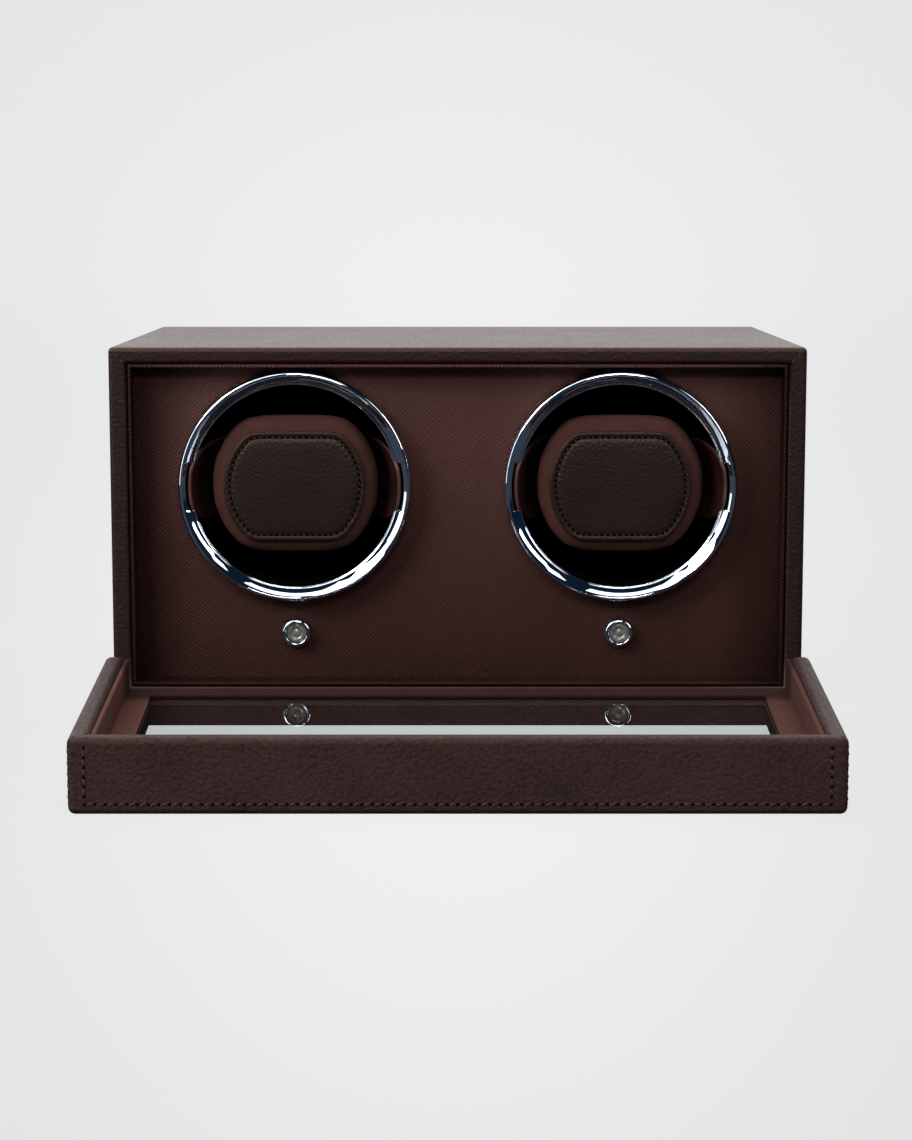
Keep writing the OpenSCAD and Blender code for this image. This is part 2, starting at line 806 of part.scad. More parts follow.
module lid_shell() {
    color(leather) difference() {
        lid_outside();
        block([-half_w + lid_wall, lid_front + lid_wall, shell_floor],
              [half_w - lid_wall, lid_back + 1, lid_h + 1]);
        block([-window_half, window_front, -1], [window_half, window_back, lid_h]);
        block([-window_half - rebate, window_front - rebate, shell_floor - glass_t - gasket_t],
              [window_half + rebate, window_back + rebate, lid_h]);
        for (side = [-1, 1]) {
            leaf_slot(side, hinge_y - leaf_reach - 0.1, lid_back + 1);
            bar_z(side * magnet_x, lid_front + lid_wall / 2, lid_h - magnet_t - 0.5, lid_h + 1, magnet_r);
        }
    }
}

// Suede floor and three walls inside the lid
module lid_lining() {
    inner = half_w - lid_wall;
    color(suede) difference() {
        block([-inner, lid_front + lid_wall, shell_floor], [inner, lid_back, lining_rim]);
        block([-inner + lining_t, lid_front + lid_wall + lining_t, lid_floor],
              [inner - lining_t, lid_back + 1, lid_h]);
        block([-window_half, window_front, 0], [window_half, window_back, lid_h]);
    }
}

module window_glass() {
    color([0.7, 0.75, 0.78, 0.35])
        block([-window_half - rebate + 0.3, window_front - rebate + 0.3, shell_floor - glass_t],
              [window_half + rebate - 0.3, window_back + rebate - 0.3, shell_floor]);
}

module window_gasket() {
    low = shell_floor - glass_t - gasket_t;
    color(black_plastic) difference() {
        block([-window_half - rebate + 0.3, window_front - rebate + 0.3, low],
              [window_half + rebate - 0.3, window_back + rebate - 0.3, low + gasket_t]);
        block([-window_half, window_front, low - 1], [window_half, window_back, low + 1]);
    }
}

module lid_magnets() {
    color(steel) for (side = [-1, 1])
        bar_z(side * magnet_x, lid_front + lid_wall / 2, lid_h - magnet_t - 0.5, lid_h - 0.5, magnet_r - 0.02);
}

case_shell();
front_sill();
base_pad();
tray_liner();
fascia_panel();
rear_cover();
rear_battens();
rear_screws();
chassis_plate();
chassis_brackets();
machine_screws();
drum_bushes();
motors();
motor_mounts();
motor_standoffs();
control_board();
board_parts();
board_standoffs();
dc_jack();
jack_nut();
wiring();
button_collars();
button_nuts();
switch_bodies();
index_pins();
case_magnets();
case_hinge_leaves();
hinge_pins();
drum_cup(-1);  // left_drum_cup
drum_ring(-1);  // left_drum_ring
drum_shaft(-1);  // left_drum_shaft
drum_gear(-1);  // left_drum_gear
drum_cup(1);  // right_drum_cup
drum_ring(1);  // right_drum_ring
drum_shaft(1);  // right_drum_shaft
drum_gear(1);  // right_drum_gear
pinion(-1);  // left_pinion
motor_shaft(-1);  // left_motor_shaft
pinion(1);  // right_pinion
motor_shaft(1);  // right_motor_shaft
cuff_band(-1);  // left_cuff_band
cuff_core(-1);  // left_cuff_core
cushion(-1);  // left_cushion
patch(-1);  // left_patch
cuff_band(1);  // right_cuff_band
cuff_core(1);  // right_cuff_core
cushion(1);  // right_cushion
patch(1);  // right_patch
button(-1);  // left_button
button(1);  // right_button
button_spring(-1);  // left_button_spring
button_spring(1);  // right_button_spring
lid_shell();
lid_lining();
window_glass();
window_gasket();
lid_magnets();
lid_hinge_leaves();
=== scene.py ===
import itertools
import json
import math
import random

import bmesh
import bpy
from mathutils import Matrix, Vector


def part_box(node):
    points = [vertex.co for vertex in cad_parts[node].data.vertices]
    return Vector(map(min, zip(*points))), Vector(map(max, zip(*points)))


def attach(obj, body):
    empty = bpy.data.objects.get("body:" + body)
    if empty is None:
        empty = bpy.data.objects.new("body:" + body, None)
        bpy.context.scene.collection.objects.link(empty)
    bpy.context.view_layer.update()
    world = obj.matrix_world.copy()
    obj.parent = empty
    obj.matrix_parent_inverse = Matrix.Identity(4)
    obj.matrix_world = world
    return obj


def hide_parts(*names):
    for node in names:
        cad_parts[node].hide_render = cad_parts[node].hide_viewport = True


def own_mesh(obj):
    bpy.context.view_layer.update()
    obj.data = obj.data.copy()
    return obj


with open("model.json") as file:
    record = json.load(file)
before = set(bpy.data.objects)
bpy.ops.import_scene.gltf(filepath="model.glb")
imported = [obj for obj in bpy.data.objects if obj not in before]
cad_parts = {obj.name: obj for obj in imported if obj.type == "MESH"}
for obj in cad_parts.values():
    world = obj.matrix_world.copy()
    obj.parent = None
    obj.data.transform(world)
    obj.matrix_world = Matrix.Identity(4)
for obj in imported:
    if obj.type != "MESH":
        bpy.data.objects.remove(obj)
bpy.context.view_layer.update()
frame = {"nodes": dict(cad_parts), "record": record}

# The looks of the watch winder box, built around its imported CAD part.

MM = 0.001
random.seed(7)


def box_mm(node):
    """Lowest and highest corner of a CAD node, in millimetres."""
    low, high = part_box(node)
    return low / MM, high / MM


CASE_LOW, CASE_HIGH = box_mm("case_shell")
LID_LOW, LID_HIGH = box_mm("lid_shell")
LINING_LOW, LINING_HIGH = box_mm("lid_lining")
GLASS_LOW, GLASS_HIGH = box_mm("window_glass")
LINER_LOW, LINER_HIGH = box_mm("tray_liner")
FASCIA_LOW = box_mm("fascia_panel")[0]
RING_LOW, RING_HIGH = box_mm("right_drum_ring")
BAND_LOW, BAND_HIGH = box_mm("right_cuff_band")
CUSHION_LOW, CUSHION_HIGH = box_mm("right_cushion")
PATCH_LOW, PATCH_HIGH = box_mm("right_patch")
SILL_LOW, SILL_HIGH = box_mm("front_sill")
COLLAR_LOW, COLLAR_HIGH = box_mm("button_collars")
BUTTON_LOW, BUTTON_HIGH = box_mm("right_button")
CUP_LOW, CUP_HIGH = box_mm("right_drum_cup")

DRUM_X = (RING_LOW.x + RING_HIGH.x) / 2
DRUM_Z = (RING_LOW.z + RING_HIGH.z) / 2
BUTTON_Z = (BUTTON_LOW.z + BUTTON_HIGH.z) / 2
SIDES = {"left": -1, "right": 1}


# ---------- materials ----------

class Nodes:
    """The node tree of a new material, with short ways to add to it."""

    def __init__(self, name):
        self.material = bpy.data.materials.new(name)
        self.material.use_nodes = True
        self.tree = self.material.node_tree

    def add(self, kind, operation=None):
        node = self.tree.nodes.new("ShaderNode" + kind)
        if operation:
            node.operation = operation
        return node

    def feed(self, target, value):
        """Links a socket to an input, or sets the input to a plain value."""
        if hasattr(value, "links"):
            self.tree.links.new(value, target)
        else:
            target.default_value = value

    def math(self, operation, a, b=0.0):
        node = self.add("Math", operation)
        self.feed(node.inputs[0], a)
        self.feed(node.inputs[1], b)
        return node.outputs[0]

    def span(self, value, low, high, start=0.0, end=1.0, eased=False):
        """Maps a value's stretch from start to end onto low to high."""
        node = self.add("MapRange")
        if eased:
            node.interpolation_type = "SMOOTHSTEP"
        for name, number in (("From Min", start), ("From Max", end), ("To Min", low), ("To Max", high)):
            node.inputs[name].default_value = number
        self.feed(node.inputs["Value"], value)
        return node.outputs["Result"]


class Shader(Nodes):
    """A principled material under construction, its texture space in millimetres of the object."""

    def __init__(self, name):
        super().__init__(name)
        self.principled = self.tree.nodes["Principled BSDF"]
        scale = self.add("VectorMath", "SCALE")
        scale.inputs["Scale"].default_value = 1 / MM
        self.feed(scale.inputs[0], self.add("TexCoord").outputs["Object"])
        self.space = scale.outputs[0]

    def put(self, name, value):
        """Sets or links an input of the principled shader; a colour is given as three numbers."""
        is_colour = isinstance(value, tuple) and len(value) == 3
        self.feed(self.principled.inputs[name], (*value, 1) if is_colour else value)

    def mapped(self, scale=(1, 1, 1), rotation=(0, 0, 0)):
        """Texture space turned by angles in degrees and stretched."""
        node = self.add("Mapping")
        node.inputs["Scale"].default_value = scale
        node.inputs["Rotation"].default_value = [math.radians(a) for a in rotation]
        self.feed(node.inputs["Vector"], self.space)
        return node.outputs[0]

    def noise(self, scale, detail=2.0, vector=None, distortion=0.0):
        node = self.add("TexNoise")
        node.inputs["Scale"].default_value = scale
        node.inputs["Detail"].default_value = detail
        node.inputs["Distortion"].default_value = distortion
        self.feed(node.inputs["Vector"], vector or self.space)
        return node.outputs["Fac"]

    def voronoi(self, scale, vector, feature="F1"):
        node = self.add("TexVoronoi")
        node.feature = feature
        node.inputs["Scale"].default_value = scale
        self.feed(node.inputs["Vector"], vector)
        return node.outputs["Distance"]

    def bands(self, period, vector, distortion):
        """Soft stripes across X, one every period (mm)."""
        node = self.add("TexWave")
        node.inputs["Scale"].default_value = 2 * math.pi / 20 / period
        node.inputs["Distortion"].default_value = distortion
        node.inputs["Detail"].default_value = 1.0
        self.feed(node.inputs["Vector"], vector)
        return node.outputs["Fac"]

    def warped(self, amount, scale):
        """Texture space pushed about by noise, for natural cell shapes."""
        push = self.add("TexNoise")
        push.inputs["Scale"].default_value = scale
        self.feed(push.inputs["Vector"], self.space)
        moved = self.add("VectorMath", "MULTIPLY_ADD")
        moved.inputs[1].default_value = (amount, amount, amount)
        self.feed(moved.inputs[0], push.outputs["Color"])
        self.feed(moved.inputs[2], self.space)
        return moved.outputs[0]

    def ramp(self, value, stops):
        """Colours by value; a stop is (place, colour)."""
        node = self.add("ValToRGB")
        elements = node.color_ramp.elements
        while len(elements) < len(stops):
            elements.new(0.5)
        for element, (place, colour) in zip(elements, stops):
            element.position = place
            element.color = (*colour, 1)
        self.feed(node.inputs["Fac"], value)
        return node.outputs["Color"]

    def along(self, axis, start, end, low, high, both_ways=False):
        """A value that runs from low to high between two places (mm) on one axis."""
        parts = self.add("SeparateXYZ")
        self.feed(parts.inputs[0], self.space)
        place = parts.outputs[axis]
        if both_ways:
            place = self.math("ABSOLUTE", place)
        return self.span(place, low, high, start, end)

    def dimmed(self, colour, factor):
        node = self.add("VectorMath", "SCALE")
        self.feed(node.inputs[0], colour)
        self.feed(node.inputs["Scale"], factor)
        return node.outputs[0]

    def bump(self, height, depth_mm):
        node = self.add("Bump")
        node.inputs["Distance"].default_value = depth_mm * MM
        node.inputs["Strength"].default_value = 1.0
        self.feed(node.inputs["Height"], height)
        self.feed(self.principled.inputs["Normal"], node.outputs["Normal"])


def shade(colour, factor):
    return tuple(min(1.0, c * factor) for c in colour)


WARM_SHEEN = (1.0, 0.62, 0.52)


def pebbled_leather(name, colour, grain=1.45, depth=0.16, rough=0.46, gloss=0.36):
    """Calf leather: soft rounded pebbles between darker creases, slightly patchy in tone and shine."""
    s = Shader(name)
    cells = s.voronoi(1 / grain, s.warped(0.8, 0.7), "SMOOTH_F1")
    pebbles = s.span(cells, 1, 0, 0.05, 0.75)
    fine = s.noise(2.4, 3)
    height = s.math("ADD", s.math("MULTIPLY", pebbles, 0.75), s.math("MULTIPLY", fine, 0.45))
    patchy = s.noise(0.035, 3)
    tone = s.math("ADD", s.math("MULTIPLY", patchy, 0.45), s.math("MULTIPLY", height, 0.42))
    s.put("Base Color", s.ramp(tone, [(0.25, shade(colour, 0.55)), (0.5, colour),
                                      (0.75, shade(colour, 1.35))]))
    s.put("Roughness", s.math("ADD", s.span(height, 0.12, -0.08), s.span(patchy, rough - 0.05, rough + 0.07)))
    s.put("Specular IOR Level", gloss)
    s.put("Specular Tint", WARM_SHEEN)
    s.bump(height, depth)
    return s.material


def smooth_leather(name, colour, rough=0.38):
    s = Shader(name)
    cells = s.voronoi(2.4, s.warped(0.3, 2.0))
    height = s.math("ADD", s.math("MULTIPLY", cells, 0.6), s.math("MULTIPLY", s.noise(6, 2), 0.4))
    tone = s.noise(0.08, 3)
    s.put("Base Color", s.ramp(tone, [(0.3, shade(colour, 0.7)), (0.7, shade(colour, 1.25))]))
    s.put("Roughness", s.span(tone, rough - 0.05, rough + 0.08))
    s.put("Specular IOR Level", 0.3)
    s.put("Specular Tint", WARM_SHEEN)
    s.bump(height, 0.03)
    return s.material


def saffiano_leather(name, colour):
    """Leather pressed with fine crossed diagonal lines; painted shade darkens its colour and sheen low down
    and beside the walls.
    """
    s = Shader(name)
    rising = s.bands(1.15, s.mapped(rotation=(0, -44, 0)), 3.2)
    falling = s.bands(2.3, s.mapped(rotation=(0, 40, 0)), 2.4)
    grain = s.noise(1.6, 3)
    lines = s.math("ADD", s.math("MULTIPLY", rising, 0.6), s.math("MULTIPLY", falling, 0.2))
    height = s.math("ADD", lines, s.math("MULTIPLY", grain, 0.95))
    patchy = s.noise(0.03, 3)
    tone = s.math("ADD", s.math("MULTIPLY", height, 0.38), s.math("MULTIPLY", patchy, 0.35))
    dye = s.ramp(tone, [(0.2, shade(colour, 0.6)), (0.5, colour), (0.8, shade(colour, 1.35))])
    # Painted shade: colour and sheen darkened towards the bottom and next to the side walls, where shade
    # falls.
    painted_shade = s.math("MULTIPLY", s.along("Z", 15, 100, 0.46, 0.94), s.along("X", 112, 141, 1.0, 0.40, True))
    s.put("Base Color", s.dimmed(dye, painted_shade))
    s.put("Specular IOR Level", s.math("MULTIPLY", painted_shade, 0.3))
    s.put("Roughness", s.span(height, 0.62, 0.44))
    s.put("Specular Tint", WARM_SHEEN)
    s.bump(height, 0.28)
    return s.material


def suede(name, colour, mottle=0.22, paint_end_shade=False):
    """Brushed nap; its last argument paints shade on the lid lining at its hinged end and towards its right
    wall.
    """
    s = Shader(name)
    nap = s.noise(5.5, 4)
    brushed = s.noise(0.9, 3, s.mapped(scale=(1, 1, 0.4)))
    strokes = s.noise(0.06, 4, distortion=1.0)
    tone = s.math("ADD", s.math("MULTIPLY", nap, 0.4),
                  s.math("ADD", s.math("MULTIPLY", brushed, 0.25), s.math("MULTIPLY", strokes, 0.35)))
    dye = s.ramp(tone, [(0.28, shade(colour, 1 - 1.6 * mottle)), (0.5, colour),
                        (0.72, shade(colour, 1 + 1.6 * mottle))])
    if paint_end_shade:
        # Painted shade, carried on in dye: darker at the hinged end, in the shadow of the case, and towards
        # the right wall.
        painted_shade = s.math("MULTIPLY", s.along("Y", -58, -47, 1.0, 0.12), s.along("X", 90, 138, 1.0, 0.7))
        dye = s.dimmed(dye, painted_shade)
    s.put("Base Color", dye)
    s.put("Roughness", 0.95)
    s.put("Specular IOR Level", 0.12)
    s.put("Sheen Weight", 0.12)
    s.put("Sheen Roughness", 0.6)
    s.put("Sheen Tint", shade(colour, 5))
    s.bump(s.math("ADD", s.math("MULTIPLY", nap, 0.7), s.math("MULTIPLY", brushed, 0.5)), 0.12)
    return s.material


def felt(name, colour):
    s = Shader(name)
    fibres = s.noise(3, 5, s.mapped(scale=(1, 1, 3)), 2.0)
    s.put("Base Color", s.ramp(fibres, [(0.3, shade(colour, 0.6)), (0.7, shade(colour, 1.7))]))
    s.put("Roughness", 0.98)
    s.put("Sheen Weight", 0.3)
    s.bump(fibres, 0.2)
    return s.material


def chrome(name):
    s = Shader(name)
    smudge = s.noise(0.09, 4)
    # The blue tint of the base colour is painted reflection: it stands for a dark blue room mirrored in the
    # chrome.
    s.put("Base Color", s.ramp(smudge, [(0.3, (0.56, 0.63, 0.73)), (0.7, (0.66, 0.72, 0.80))]))
    s.put("Metallic", 1.0)
    s.put("Roughness", s.span(smudge, 0.02, 0.07, 0.35, 0.8))
    s.bump(s.noise(0.25, 1), 0.006)
    return s.material


def metal(name, colour, rough=0.3, stretch=(0.15, 6, 6)):
    """Machined metal with fine tool lines along one axis."""
    s = Shader(name)
    lines = s.noise(1.2, 3, s.mapped(scale=stretch))
    s.put("Base Color", s.ramp(lines, [(0.3, shade(colour, 0.8)), (0.7, shade(colour, 1.12))]))
    s.put("Metallic", 1.0)
    s.put("Roughness", s.span(lines, rough - 0.07, rough + 0.12))
    s.bump(lines, 0.02)
    return s.material


def moulded_plastic(name, colour, rough=0.42, grain=0.03):
    s = Shader(name)
    spark = s.noise(5, 3)
    tone = s.noise(0.1, 2)
    s.put("Base Color", s.ramp(tone, [(0.3, shade(colour, 0.85)), (0.7, shade(colour, 1.2))]))
    s.put("Roughness", s.span(spark, rough - 0.06, rough + 0.08))
    s.bump(spark, grain)
    return s.material


def painted_shade_black(name):
    """Near-black dull surface with a short flock texture, far darker than any real black: painted shade for
    places deep in shade.
    """
    s = Shader(name)
    flock = s.noise(6, 3)
    s.put("Base Color", s.ramp(flock, [(0.3, (0.0005, 0.0005, 0.0005)), (0.8, (0.003, 0.0025, 0.0025))]))
    s.put("Roughness", 1.0)
    s.put("Specular IOR Level", 0.03)
    s.bump(flock, 0.08)
    return s.material


def fibreboard(name, colour):
    s = Shader(name)
    chips = s.noise(0.7, 6, s.mapped(scale=(0.4, 1.6, 0.4)), 0.6)
    s.put("Base Color", s.ramp(chips, [(0.3, shade(colour, 0.75)), (0.7, shade(colour, 1.2))]))
    s.put("Roughness", 0.85)
    s.bump(chips, 0.06)
    return s.material


def circuit_board(name, colour):
    """Solder mask with faint copper tracks under it."""
    s = Shader(name)
    across = s.bands(2.2, s.mapped(), 1.5)
    tracks = s.math("MULTIPLY", across, s.bands(3.1, s.mapped(rotation=(0, 90, 0)), 1.5))
    s.put("Base Color", s.ramp(tracks, [(0.35, colour), (0.6, shade(colour, 1.9))]))
    s.put("Roughness", 0.3)
    s.bump(tracks, 0.03)
    return s.material


def clear_glass(name, tint=(0.93, 0.95, 0.95)):
    """Thin clear sheet: mirror-like at low angles, see-through otherwise."""
    s = Shader(name)
    see = s.add("BsdfTransparent")
    see.inputs["Color"].default_value = (*tint, 1)
    mirror = s.add("BsdfGlossy")
    s.feed(mirror.inputs["Roughness"], s.span(s.noise(0.02, 3), 0.0, 0.03, 0.5, 0.9))
    fresnel = s.add("Fresnel")
    fresnel.inputs["IOR"].default_value = 1.5
    outer_face = s.math("SUBTRACT", 1.0, s.add("NewGeometry").outputs["Backfacing"])
    mix = s.add("MixShader")
    s.feed(mix.inputs[0], s.math("MULTIPLY", fresnel.outputs[0], outer_face))
    s.feed(mix.inputs[1], see.outputs[0])
    s.feed(mix.inputs[2], mirror.outputs[0])
    s.feed(s.tree.nodes["Material Output"].inputs["Surface"], mix.outputs[0])
    return s.material


def translucent_cap(name):
    s = Shader(name)
    haze = s.noise(0.6, 3)
    s.put("Base Color", s.ramp(haze, [(0.3, (0.105, 0.105, 0.095)), (0.7, (0.24, 0.24, 0.22))]))
    s.put("Roughness", s.span(haze, 0.06, 0.16))
    s.put("Transmission Weight", 0.35)
    s.put("Coat Weight", 0.6)
    s.put("Coat Roughness", 0.05)
    return s.material


def thread(name, colour):
    """Waxed thread with a visible twist."""
    s = Shader(name)
    twist = s.bands(0.42, s.mapped(rotation=(30, 30, 30)), 0.5)
    s.put("Base Color", s.ramp(twist, [(0.2, shade(colour, 0.55)), (0.8, shade(colour, 1.3))]))
    s.put("Roughness", 0.6)
    s.put("Specular IOR Level", 0.25)
    s.put("Specular Tint", WARM_SHEEN)
    s.bump(twist, 0.08)
    return s.material


LEATHER = (0.0265, 0.0150, 0.0135)
MATERIALS = {
    # The case's leather is the lid's leather colour darkened to 0.28: painted shade.
    "case_leather": pebbled_leather("case_leather", shade(LEATHER, 0.28), gloss=0.42),
    "lid_leather": pebbled_leather("lid_leather", LEATHER, depth=0.3, rough=0.60, gloss=0.20),
    "base_felt": felt("base_felt", (0.02, 0.018, 0.018)),
    "saffiano": saffiano_leather("saffiano", (0.041, 0.0150, 0.0122)),
    "board_wood": fibreboard("board_wood", (0.42, 0.30, 0.19)),
    "steel": metal("steel", (0.60, 0.61, 0.63)),
    "bronze": metal("bronze", (0.60, 0.44, 0.20), 0.28),
    "circuit_board": circuit_board("circuit_board", (0.012, 0.10, 0.04)),
    "black_plastic": moulded_plastic("black_plastic", (0.015, 0.015, 0.016)),
    # The drum cup's own black plastic, darkened to near-black as painted shade for the inside of the drum.
    "drum_plastic": painted_shade_black("drum_plastic"),
    "gear_nylon": moulded_plastic("gear_nylon", (0.70, 0.68, 0.60), 0.45),
    "wire_jacket": moulded_plastic("wire_jacket", (0.30, 0.02, 0.015), 0.35),
    "chrome": chrome("chrome"),
    "button_clear": translucent_cap("button_clear"),
    "band_leather": smooth_leather("band_leather", (0.016, 0.0055, 0.0045)),
    "patch_leather": pebbled_leather("patch_leather", (0.0092, 0.0052, 0.0044), 1.15, 0.15, 0.42),
    "cushion_suede": suede("cushion_suede", (0.042, 0.0158, 0.0128)),
    "lid_suede": suede("lid_suede", (0.064, 0.0245, 0.0190), 0.16, True),
    "window_glass": clear_glass("window_glass"),
    "gasket_rubber": moulded_plastic("gasket_rubber", (0.02, 0.02, 0.02), 0.7),
}
EDGE_PAINT = smooth_leather("edge_paint", (0.060, 0.030, 0.026), 0.45)
THREAD = thread("thread", (0.062, 0.022, 0.018))
PATCH_THREAD = thread("patch_thread", (0.019, 0.011, 0.009))
# Near-black painted shade for the cuff band's back plate, which lies in shade behind the cushion.
BAND_PLATE_SHADE = painted_shade_black("band_plate_shade")
# Near-black painted shade standing for the shade inside needle holes.
HOLE_SHADE = painted_shade_black("hole_shade")


def dress_cad_nodes():
    """Gives every CAD node the procedural material of its slot."""
    for entry in frame["record"]["subparts"]:
        mesh = frame["nodes"][entry["node"]].data
        mesh.materials.clear()
        mesh.materials.append(MATERIALS[entry["material_slot"]])


# ---------- mesh helpers ----------

def make_piece(name, bm, body, slot, materials=None, replaces=(), smooth=True):
    """Turns a bmesh in millimetres into a piece that rides on a body."""
    bmesh.ops.recalc_face_normals(bm, faces=bm.faces)
    bmesh.ops.scale(bm, vec=(MM, MM, MM), verts=bm.verts)
    mesh = bpy.data.meshes.new(name)
    bm.to_mesh(mesh)
    bm.free()
    for material in materials or [MATERIALS[slot]]:
        mesh.materials.append(material)
    for polygon in mesh.polygons:
        polygon.use_smooth = smooth
    piece = bpy.data.objects.new(name, mesh)
    bpy.context.scene.collection.objects.link(piece)
    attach(piece, body)
    if replaces:
        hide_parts(*replaces)
    return piece


def join(bm, other):
    """Adds another bmesh's faces to the first and frees it."""
    mesh = bpy.data.meshes.new("joined")
    other.to_mesh(mesh)
    other.free()
    bm.from_mesh(mesh)
    bpy.data.meshes.remove(mesh)


def weighted_normals(piece):
    modifier = piece.modifiers.new("normals", "WEIGHTED_NORMAL")
    modifier.keep_sharp = True
    modifier.weight = 80


def cells(xs, ys, zs, filled=lambda i, j, k: True):
    """Closed shell round the cells of a grid for which filled(i, j, k) holds."""
    bm = bmesh.new()
    made = {}
    spans = [range(len(places) - 1) for places in (xs, ys, zs)]

    def vert(i, j, k):
        if (i, j, k) not in made:
            made[i, j, k] = bm.verts.new((xs[i], ys[j], zs[k]))
        return made[i, j, k]

    def solid(cell):
        return all(n in span for n, span in zip(cell, spans)) and filled(*cell)

    for cell in filter(solid, itertools.product(*spans)):
        for axis, step in itertools.product(range(3), (0, 1)):
            near = list(cell)
            near[axis] += 2 * step - 1
            if solid(near):
                continue
            corners = []
            for u, v in ((0, 0), (1, 0), (1, 1), (0, 1)):
                place = list(cell)
                place[axis] += step
                place[(axis + 1) % 3] += u
                place[(axis + 2) % 3] += v
                corners.append(vert(*place))
            bm.faces.new(corners if step else corners[::-1])
    bmesh.ops.dissolve_limit(bm, angle_limit=math.radians(1), verts=bm.verts, edges=bm.edges)
    return bm


def round_edges(bm, width, segments, wanted=lambda middle: True):
    """Rounds the sharp edges whose middle is wanted."""
    sharp = [e for e in bm.edges if len(e.link_faces) == 2
             and e.calc_face_angle() > math.radians(40)
             and wanted((e.verts[0].co + e.verts[1].co) / 2)]
    bmesh.ops.bevel(bm, geom=sharp, offset=width, offset_type="OFFSET", segments=segments,
                    profile=0.5, affect="EDGES", clamp_overlap=True)


def cut_long_edges(bm):
    """Divides edges over 60 mm, so that a broad face can bend and shade evenly."""
    bmesh.ops.subdivide_edges(bm, edges=[e for e in bm.edges if e.calc_length() > 60], cuts=7,
                              use_grid_fill=True)


def spoke(x, z, radius, angle, y):
    """The point at a radius and angle round the line along Y through (x, z)."""
    return Vector((x + radius * math.cos(angle), y, z + radius * math.sin(angle)))


def lathe(bm, profile, x, z, angles, squeeze=lambda radius, angle: radius):
    """Turns a closed profile of (radius, y) round the line along Y through (x, z)."""
    rings = [[bm.verts.new(spoke(x, z, squeeze(radius, angle), angle, y)) for radius, y in profile]
             for angle in angles]
    count = len(profile)
    for a, ring in enumerate(rings):
        after = rings[(a + 1) % len(rings)]
        for b in range(count):
            c = (b + 1) % count
            bm.faces.new((ring[b], ring[c], after[c], after[b]))


def arc(cx, cy, rx, ry, start, end, steps):
    """Points on a stretch of ellipse, angles in degrees."""
    return [(cx + rx * math.cos(math.radians(start + (end - start) * i / steps)),
             cy + ry * math.sin(math.radians(start + (end - start) * i / steps)))
            for i in range(steps + 1)]


def even_angles(count):
    """Angles in radians evenly round a full turn."""
    return [2 * math.pi * i / count for i in range(count)]


def add_blob(bm, place, along, up, length, width, height, material=0):
    """A small capsule lying on a surface: one stitch, or one needle hole drawn as a dark blob of painted
    shade.
    """
    along = along.normalized()
    across = up.cross(along).normalized()
    turns, steps = 8, 5
    rings = []
    for i in range(1, steps):
        t = -math.cos(math.pi * i / steps)
        bulge = math.sqrt(max(0.0, 1 - t ** 4))
        ring = []
        for j in range(turns):
            a = 2 * math.pi * j / turns
            offset = across * (math.cos(a) * width / 2 * bulge) + up * (math.sin(a) * height * bulge)
            ring.append(bm.verts.new(place + along * (t * length / 2) + offset))
        rings.append(ring)
    tips = [bm.verts.new(place - along * length / 2), bm.verts.new(place + along * length / 2)]
    for first, second in zip(rings, rings[1:]):
        for j in range(turns):
            face = bm.faces.new((first[j], first[(j + 1) % turns], second[(j + 1) % turns], second[j]))
            face.material_index = material
    for j in range(turns):
        bm.faces.new((tips[0], rings[0][(j + 1) % turns], rings[0][j])).material_index = material
        bm.faces.new((tips[1], rings[-1][j], rings[-1][(j + 1) % turns])).material_index = material


def stitch_path(bm, points, ups, pitch, sink=0.05, length=0.66, width=0.95, slant=22, hole=0.34):
    """Lays stitches and needle holes, dark blobs of painted shade, along a path given as points with surface
    normals.
    """
    lengths = [0.0]
    for a, b in zip(points, points[1:]):
        lengths.append(lengths[-1] + (b - a).length)
    count = max(2, round(lengths[-1] / pitch))
    step = lengths[-1] / count

    def at(distance):
        distance = min(max(distance, 0), lengths[-1])
        i = max(k for k in range(len(lengths) - 1) if lengths[k] <= distance)
        t = (distance - lengths[i]) / (lengths[i + 1] - lengths[i])
        along = (points[i + 1] - points[i]).normalized()
        return points[i].lerp(points[i + 1], t), along, ups[i].lerp(ups[i + 1], t)

    for n in range(count):
        place, along, up = at((n + 0.5) * step)
        up = up.normalized()
        tilt = Matrix.Rotation(math.radians(slant + random.uniform(-4, 4)), 3, up)
        add_blob(bm, place - up * sink, tilt @ along, up, step * length, width, 0.42)
    for n in range(count + 1):
        place, along, up = at(n * step)
        up = up.normalized()
        # Needle hole: a blob in the near-black painted shade material.
        add_blob(bm, place - up * 0.02, along, up, step * hole, width * 1.35, 0.2, 1)


def stitched(name, rows, body, slot, pitch, thread_material=THREAD, **style):
    """One piece holding several rows of stitches. A row is (points, normals)."""
    bm = bmesh.new()
    for points, ups in rows:
        stitch_path(bm, points, ups, pitch, **style)
    return make_piece(name, bm, body, slot, [thread_material, HOLE_SHADE])


def straight_row(start, end, up):
    return [Vector(start), Vector(end)], [Vector(up), Vector(up)]


# ---------- case ----------

LINER_GAP = 0.4
CASE_DEPTH = CASE_HIGH.y
SIDE_TAPER = 10 / CASE_HIGH.x
TOP_TAPER = 8


def taper(co):
    """Leans a point of the straight case in and down towards the back."""
    f = max(co.y, 0) / CASE_DEPTH
    up = (co.z - CASE_LOW.z) / (CASE_HIGH.z - CASE_LOW.z)
    return Vector((co.x * (1 - SIDE_TAPER * f), co.y, co.z - TOP_TAPER * f * up))


